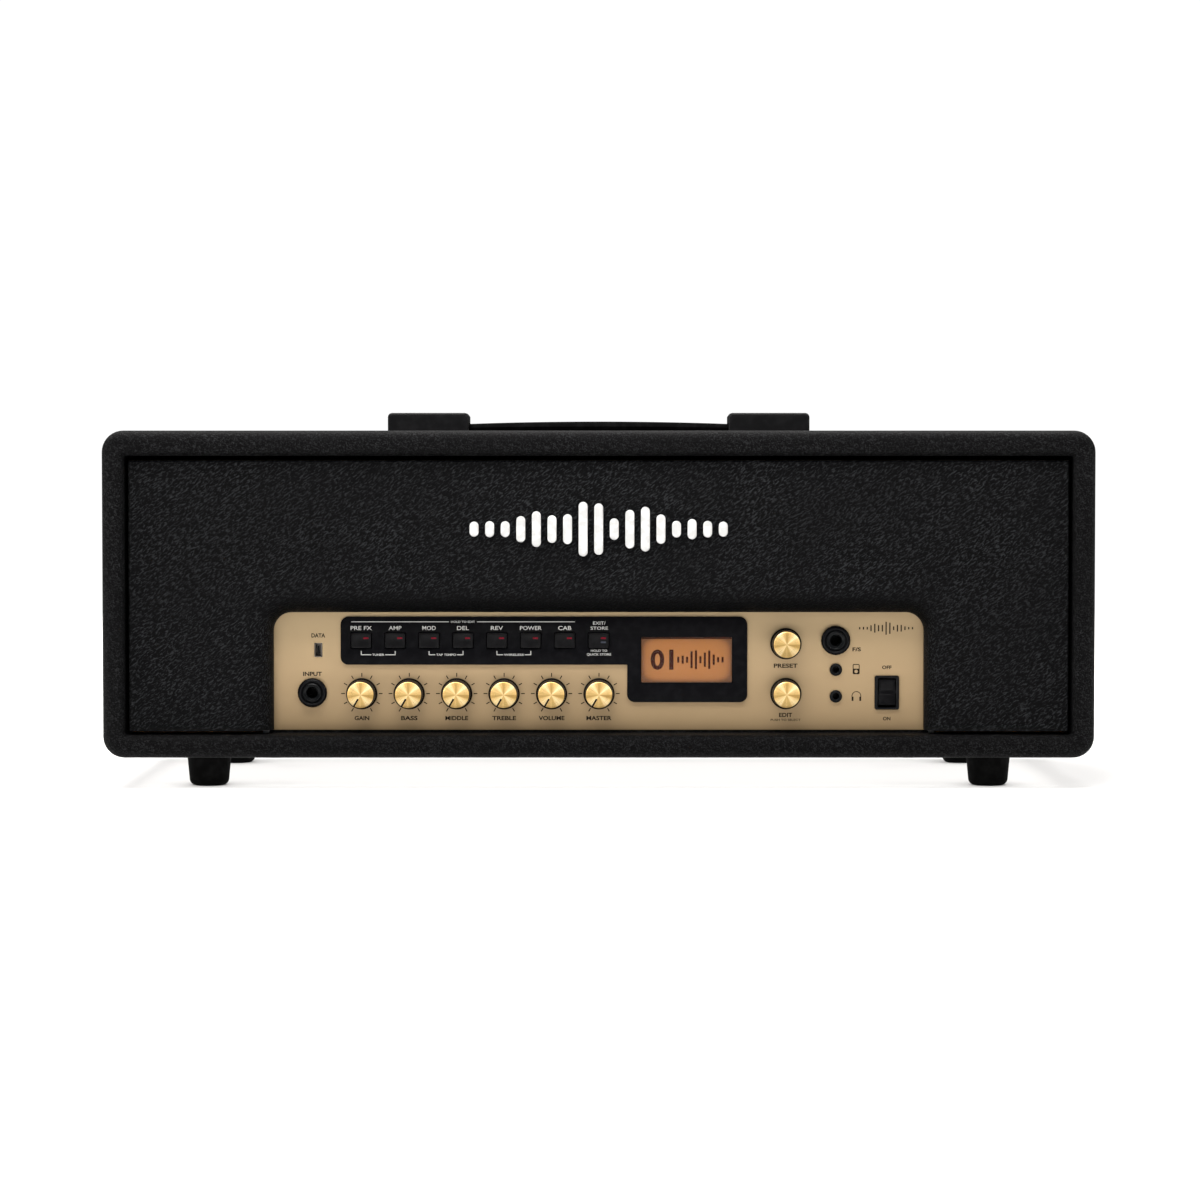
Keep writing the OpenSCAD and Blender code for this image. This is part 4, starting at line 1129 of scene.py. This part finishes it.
def make_jacks():
    """Front and rear quarter-inch sockets, and their ring nuts as a second piece."""
    bodies, rings = [], []
    front = [(at, panel.y0, "-y", PANEL_WALL) for at in (INSTRUMENT_JACK, FOOTSWITCH_JACK)]
    for at, face, out, wall in front + [(at, rear.y1, "+y", REAR_WALL) for at in SPEAKER_JACKS]:
        parts, ring = jack_parts(at, face, out, wall)
        bodies += parts
        rings.append(ring)
    assemble("socket_bodies", bodies, CABINET, "jack_plastic", "jack_sockets")
    assemble("socket_nuts", rings, CABINET, "jack_plastic", "jack_nuts")


def make_small_jacks():
    """Aux and headphone sockets: a flared nose in the panel and the body behind it."""
    nose = [(1.8, -13), (1.8, 1.2), (2.25, 1.7), (3.35, 1.8), (3.8, 1.35), (3.8, -2.8)]
    profile = soften([*nose, (5.8, -2.8), (5.8, -14), (1.8, -14)], 0.25, 3)
    made = []
    for at in (AUX_JACK, PHONES_JACK):
        spot = (at[0], panel.y0, at[1])
        made.append(turn("small_jack", profile, spot, "-y", JACK, 48))
        made.append(turn("end", rod(1.9, -12.9, -13.6), spot, "-y", JACK, 16))
    assemble("small_sockets", made, CABINET, "jack_plastic", "small_jacks")


def make_data_port():
    """Folded metal mouth with a black tongue, and the block behind it."""
    x, z = DATA_AT
    y = panel.y0
    mouth = [rounded(x, z, 2.3, 4.15, 0.9, 4), rounded(x, z, 1.8, 3.65, 0.6, 4)]
    shroud = plate("mouth", mouth, y - 0.4, y + 8.5, 0.15, DATA_METAL)
    rest = plate("block", [rounded(x, z, 3, 4.8, 0.6)], y + 8.5, y + 11.5, 0.2, DATA_METAL)
    assemble("data_mouth", [shroud, rest], CABINET, "port_metal", "data_port")
    tongue = plate("data_tongue", [rounded(x, z, 0.45, 2.5, 0.2)], y + 0.6, y + 9, 0.1, JACK)
    place(tongue, CABINET, "port_metal")


ROCKER_Y = 0.4
ROCKER_TILT = 10.0


def make_switch():
    """Frame of the power switch, its body, and the rocker with its pressed-in upper half."""
    x, z = SWITCH_AT
    y = panel.y0
    well, tube = rounded(x, z, 5.4, 8.75, 0.5), rounded(x, z, 6.4, 9.7, 0.4)
    rim = plate("rim", [rounded(x, z, 7.5, 10.4, 1.2, 5), well], y - 1.6, y, 0.45, GLOSSY)
    skirt = plate("skirt", [tube, well], y - 0.4, y + 12, 0.1, GLOSSY)
    floor = plate("floor", [tube], y + 12, y + 15, 0.2, GLOSSY)
    assemble("switch_frame", [rim, skirt, floor], CABINET, "switch_gloss", "switch_housing")

    half = 8.0
    rise = half * math.tan(math.radians(ROCKER_TILT))
    front, back = -1.2, [(2, -half), (5.5, -3), (5.5, 3), (2, half)]
    corners = [(front - rise, -half), *back, (front - rise, half), (front, 0)]
    outline = fillet(corners, [0.5, 0.5, 0.6, 0.6, 0.5, 0.5, 6.0], 5)
    shape = spin(plate("rocker", [outline], -5.1, 5.1, 0.3, GLOSSY), 90, "Z")
    panels = []
    for side in (-1, 1):
        pad = plate("pad", [rounded_box(-3.9, 1.3, 3.9, half - 1.1, 0.5, 4)], -0.2, 0.4, 0.12, GLOSSY, 2)
        move(spin(pad, ROCKER_TILT, "X"), y=front + 0.04)
        if side < 0:
            mirror(pad, 2)
        panels.append(pad)
    pins = spin(turn("pin", rod(0.9, -5.95, 5.95), (0, 0, 0), "+z", GLOSSY, 24), 90, "Y")
    rocker = join("power_paddle", [shape, *panels, pins])
    dress(rocker, GLOSSY)
    move(spin(rocker, -ROCKER_TILT, "X"), x, y + ROCKER_Y, z)
    place(rocker, "power_rocker", "switch_gloss", "power_rocker")


# ---- print

TICK_RADII = (10.3, 12.6)


def make_print():
    """White print on the fascia and brown print on the panel. All of it is generic."""
    make_fascia_print(bezel.y0)
    make_panel_print(panel.y0)


def make_fascia_print(ink):
    """Names of the buttons, with lines and brackets that tie them together."""
    first, last = BUTTONS[0], BUTTONS[6]
    white = []

    def on_fascia(words, x, z, height, width):
        white.append(text(words, x, z, height, ink, PRINT_WHITE, width, 0.01))

    names = ("PRE FX", "AMP", "MOD", "DEL", "REV", "POWER", "CAB")
    widths = (12.9, 7.8, 8.2, 7.2, 7.4, 13.2, 8.0)
    for b, words, width in zip(BUTTONS, names, widths):
        on_fascia(words, b.x, b.z + 7.6, 2.5, width)
    store = BUTTONS[7]
    on_fascia("EXIT/", store.x + 0.4, store.z + 10.6, 2.0, 7.6)
    on_fascia("STORE", store.x + 0.4, store.z + 7.5, 2.0, 10.6)
    on_fascia("HOLD TO", store.x + 0.2, store.z - 6.2, 1.35, 10.0)
    on_fascia("QUICK STORE", store.x + 0.2, store.z - 8.6, 1.35, 14.8)
    line_z, middle, gap = first.z + 11.4, BUTTONS[3].x, 8.6
    on_fascia("HOLD TO EDIT", middle, line_z, 1.25, 14.6)
    for a, b in ((first.x0 + 1.2, middle - gap), (middle + gap, last.x1 - 1.2)):
        white.append(stroke(a, line_z, b, line_z, 0.42, ink, PRINT_WHITE))
    for k, words in ((0, "TUNER"), (2, "TAP TEMPO"), (4, "WIRELESS")):
        left, right = BUTTONS[k].x, BUTTONS[k + 1].x
        half = 4.2 if k == 0 else 6.6
        centre, base, up = (left + right) / 2, first.z - 8.7, first.z - 6.4
        on_fascia(words, centre, base, 1.3, 2 * half - 1.2)
        for end, inner in ((left, centre - half), (right, centre + half)):
            white.append(stroke(end, base - 0.2, end, up, 0.42, ink, PRINT_WHITE))
            white.append(stroke(end, base, inner, base, 0.42, ink, PRINT_WHITE))
    place(join("fascia_print", white), CABINET, "bezel_black")


def make_panel_print(ink):
    """Names and scales of the knobs, names and signs of the sockets, and a level mark."""
    dark = []

    def on_panel(words, x, z, height, width):
        dark.append(text(words, x, z, height, ink, PRINT_DARK, width, 0.04 if height > 1.6 else 0.02))

    names = ("GAIN", "BASS", "MIDDLE", "TREBLE", "VOLUME", "MASTER")
    widths = (9.0, 10.0, 13.9, 14.6, 15.8, 15.4)
    for k, words, width in zip(KNOBS, names, widths):
        on_panel(words, k.x, k.z - 15.0, 2.5, width)
        for step in range(11):
            a = math.radians(-150 + 30 * step)
            near, far = ((k.x + r * math.sin(a), k.z + r * math.cos(a)) for r in TICK_RADII)
            dark.append(stroke(*near, *far, 0.58, ink, PRINT_DARK))
    preset, edit = ENCODERS["preset"], ENCODERS["edit"]
    on_panel("PRESET", preset.x, preset.z - 13.5, 2.5, 14.5)
    on_panel("EDIT", edit.x, edit.z - 13.2, 2.5, 8.0)
    on_panel("PUSH TO SELECT", edit.x, edit.z - 16.2, 1.3, 18.2)
    on_panel("INPUT", INSTRUMENT_JACK[0], INSTRUMENT_JACK[1] + 11.4, 2.5, 11.5)
    on_panel("DATA", DATA_AT[0], DATA_AT[1] + 8.9, 2.5, 8.4)
    on_panel("F/S", FOOTSWITCH_JACK[0] + 12.9, FOOTSWITCH_JACK[1] - 5.5, 2.3, 5.2)
    on_panel("OFF", SWITCH_AT[0], SWITCH_AT[1] + 15.4, 2.1, 5.8)
    on_panel("ON", SWITCH_AT[0], SWITCH_AT[1] - 15.9, 2.1, 4.6)
    dark += player_icon(AUX_JACK[0] + 12.4, AUX_JACK[1] + 0.3, ink)
    dark += headphone_icon(PHONES_JACK[0] + 12.6, PHONES_JACK[1] + 0.2, ink)
    dark += wave_mark(SWITCH_AT[0] - 0.5, FOOTSWITCH_JACK[1] + 7.4, ink)
    place(join("panel_print", dark), CABINET, "panel_gold")


def ring_stroke(cx, cz, r, a0, a1, w, y):
    """A printed arc of width w."""
    steps = 24
    outer, inner = arc(cx, cz, r + w / 2, a0, a1, steps), arc(cx, cz, r - w / 2, a0, a1, steps)
    points = outer + inner[::-1]
    n = len(points)
    verts = [(px, y - INK_T, pz) for px, pz in points] + [(px, y, pz) for px, pz in points]
    faces = [(k, k + 1, n - k - 2, n - k - 1) for k in range(steps)]
    faces += [tuple(reversed([v + n for v in face])) for face in faces]
    faces += [(k, (k + 1) % n, n + (k + 1) % n, n + k) for k in range(n)]
    return finish_mesh("arc", verts, faces, PRINT_DARK, smooth=False)


def player_icon(x, z, y):
    """A music player: a box with a window and a round wheel."""
    screen = rounded_box(x - 1.6, z + 0.3, x + 1.6, z + 2.6, 0.3, 3)
    box = plate("frame", [rounded(x, z, 2.1, 3.1, 0.7), screen], y - INK_T, y, 0.005, PRINT_DARK, 1)
    wheel = turn("hole", rod(1.05, -1, 1), (x, y, z - 1.4), "-y", PRINT_DARK, 24)
    return [cut(box, wheel)]


def headphone_icon(x, z, y):
    """A headband and two ear pads."""
    parts = [ring_stroke(x, z, 2.7, 0, 180, 0.45, y)]
    for side in (-1, 1):
        parts.append(stroke(x + side * 2.7, z + 0.1, x + side * 2.7, z - 1.2, 0.45, y, PRINT_DARK))
        parts.append(stroke(x + side * 2.35, z - 0.4, x + side * 2.35, z - 3.0, 1.1, y, PRINT_DARK))
    return parts


def wave_mark(x, z, y):
    """Plain rising and falling level lines in the panel's upper right corner."""
    lines, count, pitch = [], 15, 2.3
    for i in range(count):
        tall = 1.4 + 6.8 * wave(i, count)
        at = x + (i - (count - 1) / 2) * pitch
        lines.append(stroke(at, z - tall / 2, at, z + tall / 2, 0.75, y, PRINT_DARK))
    return lines


# ---- rear and inside

INLET_X = 215.0
WELL_Z = 76.5
DRAWER_Z = 55.0


def make_inlet():
    """Mains inlet: flanged shroud, a keyed well with three bright pins, and its body."""
    lo, hi = (199.5, 45.0), (230.5, 93.0)
    x, z = INLET_X, WELL_Z
    front, well_floor, back = rear.y1 + 2.5, rear.y1 - 14.5, rear.y1 - 28
    low = [(x - 12.2, z - 8.3), (x + 12.2, z - 8.3), (x + 12.2, z + 3.3)]
    well = fillet(low + [(x + 7.4, z + 8.3), (x - 7.4, z + 8.3), (x - 12.2, z + 3.3)], 1.0, 4)
    slot = rounded(x, DRAWER_Z, 10.35, 5.35, 0.4)
    flange = plate("flange", [rounded_box(*lo, *hi, 2, 5), well, slot], rear.y1, front, 0.5, INLET)
    inner = rounded_box(lo[0] + 2.1, lo[1] + 2.6, hi[0] - 2.1, hi[1] - 2.6, 1, 3)
    tube = plate("tube", [inner, well, slot], well_floor, rear.y1 + 0.4, 0.1, INLET)
    floor = plate("floor", [inner, slot], back + 3, well_floor, 0.1, INLET)
    end = plate("end", [inner], back, back + 3, 0.1, INLET)
    assemble("inlet_body", [flange, tube, floor, end], CABINET, "inlet_plastic", "mains_inlet")
    pins = []
    for dx, dz in ((-7, -2), (7, -2), (0, 2)):
        outline = rounded(x + dx, z + dz, 1, 2, 0.35)
        pins.append(plate("pin", [outline], rear.y1 - 15, rear.y1 - 2.6, 0.3, PORT))
    assemble("inlet_pins", pins, CABINET, "port_metal")


FEET_AT = (239.0, 85.0)
HANDLE_SCREW_X = 119.0
SIDE_SCREW_X = 279.65
REAR_SCREW_ZS = (50, 94, 138, 182)
BAFFLE_SCREW_ZS = (60, 112, 168)
THREAD_PITCH = 0.9
DRIVE_DEPTH = 1.1


def wood_screw(at, out, shank, length, head, drive=None):
    """A screw whose head starts at the point and stands along out; the threaded shank goes back.

    head is a profile from the axis at the top to the shank; drive is 'cross', 'slot' or nothing.
    """
    thread = []
    for k in range(int((length - 4) / THREAD_PITCH)):
        h = -length + 3 + k * THREAD_PITCH
        thread += [(shank, h), (shank - 0.28, h + THREAD_PITCH / 2)]
    profile = [(0, -length), (shank * 0.6, -length + 1.5), *thread, (shank, 0), *head[::-1]]
    screw = turn("screw", profile, at, out, DARK_STEEL, 32)
    if not drive:
        return screw
    x, y, z = at
    top = max(h for _, h in head)
    low, high = top - DRIVE_DEPTH, top + 1
    if drive == "slot":
        bar = block("bar", x - 3.6, y - 0.4, z + low, x + 3.6, y + 0.4, z + high, 0.05, DARK_STEEL, 1)
        return cut(screw, bar)
    bars = [
        block("bar", x - w, y + low, z - h, x + w, y + high, z + h, 0.08, DARK_STEEL, 1)
        for w, h in ((1.8, 0.375), (0.375, 1.8))
    ]
    return cut(screw, *bars)


def pan_head(r, t):
    """Profile of a domed head, from its top to its rim."""
    return soften([(0, t), (r * 0.55, t - 0.05), (r * 0.92, t * 0.55), (r, 0.3), (r - 0.1, 0.0)], 0.4, 3)


def make_wood_screws():
    """Screws of the rear panel, baffle, handle and feet, each with its threaded shank."""
    made = []
    pan = pan_head(3.6, 2.15)
    washer = soften([(0, 3.0), (3.0, 2.9), (4.2, 1.6), (4.4, 1.0), (6.0, 0.9), (6.0, 0.0)], 0.3, 3)
    for side in (-1, 1):
        x = side * SIDE_SCREW_X
        for z in REAR_SCREW_ZS:
            made.append(wood_screw((x, rear.y1, z), "+y", 1.75, 15.5, pan, "cross"))
        for z in BAFFLE_SCREW_ZS:
            made.append(wood_screw((x, baffle.y1 + CLEAT_W, z), "+y", 1.75, 25, pan, "cross"))
        cap_top = (side * HANDLE_SCREW_X, 0, sleeve.z1 + 7)
        made.append(wood_screw(cap_top, "+z", 2.0, 19, pan_head(3.38, 1.95), "slot"))
        for way in (-1, 1):
            foot = (side * FEET_AT[0], way * FEET_AT[1], 8)
            made.append(wood_screw(foot, "-z", 2.4, 21, washer))
    assemble("screws", made, CABINET, "screw_steel", "wood_screws")


def make_drawer():
    """Fuse drawer with a ribbed finger lip, and the fuse that lies in its well."""
    x, y, z = INLET_X, rear.y1, DRAWER_Z
    tray = plate("tray", [rounded(x, z, 10, 5, 0.5)], y - 22.1, y + 2.9, 0.3, INLET)
    tray = cut(tray, block("well", x - 8, y - 18, z - 3, x + 8, y - 1, z + 6, 0.3, INLET, 2))
    lip = plate("lip", [rounded(x, z, 11, 5.6, 1, 4)], y + 2.8, y + 4.4, 0.45, INLET)
    grooves = [
        block("groove", x - 6, y + 4.1, z - 2.6 + k * 1.3, x + 6, y + 5, z - 2.0 + k * 1.3, 0.1, INLET, 1)
        for k in range(5)
    ]
    assemble("fuse_tray", [tray, cut(lip, *grooves)], "fuse_drawer", "inlet_plastic", "fuse_drawer")
    caps = [(2.5, 0), (2.5, 4.4), (2.2, 4.5), (2.2, 11.3), (2.5, 11.4), (2.5, 15.8)]
    fuse = turn("fuse", soften([(0, 0), *caps, (0, 15.8)], 0.2, 3), (0, 0, 0), "+z", PORT, 32)
    place(move(spin(fuse, 90, "Y"), x - 7.9, y - 9.5, z - 0.3), "fuse_drawer", "inlet_plastic")


KEPT_NODES = {
    "baffle_board": PLY,
    "strap_core": CONTROL,
    "chassis_tray": TRAY,
    "machine_screws": NUT,
    "control_panel": GOLD,
    "display_module": SWITCH,
    "control_board": BOARD,
    "main_board": BOARD,
    "power_board": BOARD,
    "transformer": WINDING,
    "heatsink": HEATSINK,
    "potentiometers": CONTROL,
    "encoders": CONTROL,
    "control_nuts": NUT,
    "tact_switches": SWITCH,
    "rear_panel": POWDER,
    "edit_plunger": SLIDER,
}
EDGED = {"rear_panel": 0.25, "chassis_tray": 0.25, "heatsink": 0.3, "power_board": 0.15, "main_board": 0.15}


def finish_kept_nodes():
    """Materials for the CAD nodes that stay, and soft edges on the ones that can be seen."""
    for node, finish in KEPT_NODES.items():
        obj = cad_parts[node]
        if not obj.material_slots:
            obj.data.materials.append(finish)
        for material_slot in obj.material_slots:
            material_slot.material = finish
        if node in EDGED:
            weld = obj.modifiers.new("weld", "WELD")
            weld.merge_threshold = 0.002 * MM
            edge = obj.modifiers.new("edge", "BEVEL")
            edge.width = EDGED[node] * MM
            edge.segments = 2
            edge.limit_method = "ANGLE"
            edge.angle_limit = math.radians(40)


# ---- studio


LENS = 109.6
CAMERA_BACK = 2.2
CAMERA_UP = 0.198
AIM_RIGHT = 0.0008
AIM_UP = 0.1149


def aim_at(obj, spot, aim):
    """Puts a light or camera at a spot and turns it to look at another."""
    obj.location = spot
    obj.rotation_euler = (Vector(aim) - Vector(spot)).to_track_quat("-Z", "Y").to_euler()
    return obj


def area_light(name, spot, aim, size, power):
    """A soft rectangular light of slightly warm white."""
    light = bpy.data.lights.new(name, "AREA")
    light.shape = "RECTANGLE"
    light.size, light.size_y = size
    light.energy = power
    light.color = (1.0, 0.98, 0.96)
    return aim_at(add(name, light), spot, aim)


def make_camera():
    """Camera before the front and a little above its middle."""
    data = bpy.data.cameras.new("camera")
    data.sensor_width = 36
    data.lens = LENS
    data.clip_start, data.clip_end = 0.05, 50
    front = sleeve.y0 * MM
    spot, aim = (0, front - CAMERA_BACK, CAMERA_UP), (AIM_RIGHT, front, AIM_UP)
    bpy.context.scene.camera = aim_at(add("camera", data), spot, aim)


def make_floor():
    """A pale floor that reaches a little past the view on every side."""
    left, near, right, far = -1.3, -1.6, 1.3, 2.4
    mesh = bpy.data.meshes.new("floor")
    corners = [(left, near, 0), (right, near, 0), (right, far, 0), (left, far, 0)]
    mesh.from_pydata(corners, [], [(0, 1, 2, 3)])
    floor = add("floor", mesh)
    f = Finish("pale_floor", (0.86, 0.86, 0.86), 0.9, Specular_IOR_Level=0.1)
    f.paint(f.blend(f.noise(400, 2.0), (0.85, 0.85, 0.85), (0.87, 0.87, 0.87)))
    mesh.materials.append(f.material)


def make_surround():
    """White to look at; as light it is dim, and brighter above than below."""
    world = bpy.data.worlds.new("surround")
    world.use_nodes = True
    nodes, links = world.node_tree.nodes, world.node_tree.links
    seen = nodes["Background"]
    seen.inputs["Color"].default_value = (1, 1, 1, 1)
    seen.inputs["Strength"].default_value = 1.05
    glow = nodes.new("ShaderNodeBackground")
    up = nodes.new("ShaderNodeSeparateXYZ")
    links.new(nodes.new("ShaderNodeTexCoord").outputs["Generated"], up.inputs[0])
    rise = nodes.new("ShaderNodeMapRange")
    for socket, value in (("From Min", -0.1), ("From Max", 0.9), ("To Min", 0.06), ("To Max", 0.5)):
        rise.inputs[socket].default_value = value
    links.new(up.outputs["Z"], rise.inputs["Value"])
    links.new(rise.outputs[0], glow.inputs["Strength"])
    mix = nodes.new("ShaderNodeMixShader")
    links.new(nodes.new("ShaderNodeLightPath").outputs["Is Camera Ray"], mix.inputs[0])
    links.new(glow.outputs[0], mix.inputs[1])
    links.new(seen.outputs[0], mix.inputs[2])
    links.new(mix.outputs[0], nodes["World Output"].inputs["Surface"])
    bpy.context.scene.world = world


def make_studio():
    """Floor, surround and soft lights; the two small ones light the front's top edge and the feet."""
    make_floor()
    make_surround()
    area_light("overhead", (-0.3, -0.8, 1.6), (0, -0.12, 0.1), (1.5, 0.6), 30)
    fill = area_light("front_fill", (-0.7, -2.4, 1.25), (0, -0.1, 0.08), (1.2, 0.5), 16.5)
    fill.visible_glossy = False
    area_light("side_left", (-1.7, -0.5, 0.7), (0, 0, 0.12), (0.5, 0.8), 12)
    area_light("side_right", (1.7, -0.5, 0.7), (0, 0, 0.12), (0.5, 0.8), 10)
    area_light("behind", (0, 1.3, 2.3), (0, 1.1, 0), (3.0, 1.6), 120)
    front, top = sleeve.y0 * MM, sleeve.z1 * MM
    brow = area_light("brow", (0, front - 0.16, top + 0.14), (0, front, top - 0.01), (0.6, 0.04), 0.5)
    brow.visible_camera = False
    under_z = 0.9 * sleeve.z0 * MM
    under = area_light("under", (0, 0, under_z), (0, 0.0001, 0), (0.58, 0.23), 0.52)
    under.visible_camera = False
    under.visible_glossy = False
    bpy.context.scene.view_settings.view_transform = "Standard"
    bpy.context.scene.view_settings.look = "None"


make_camera()
make_studio()
make_cabinet()
make_baffle()
make_badge()
make_feet()
make_handle_caps()
make_strap()
make_fascia()
make_display()
for index, span in enumerate(BUTTONS):
    make_button(index, span)
make_knobs()
make_jacks()
make_small_jacks()
make_data_port()
make_switch()
make_print()
make_inlet()
make_drawer()
make_wood_screws()
finish_kept_nodes()
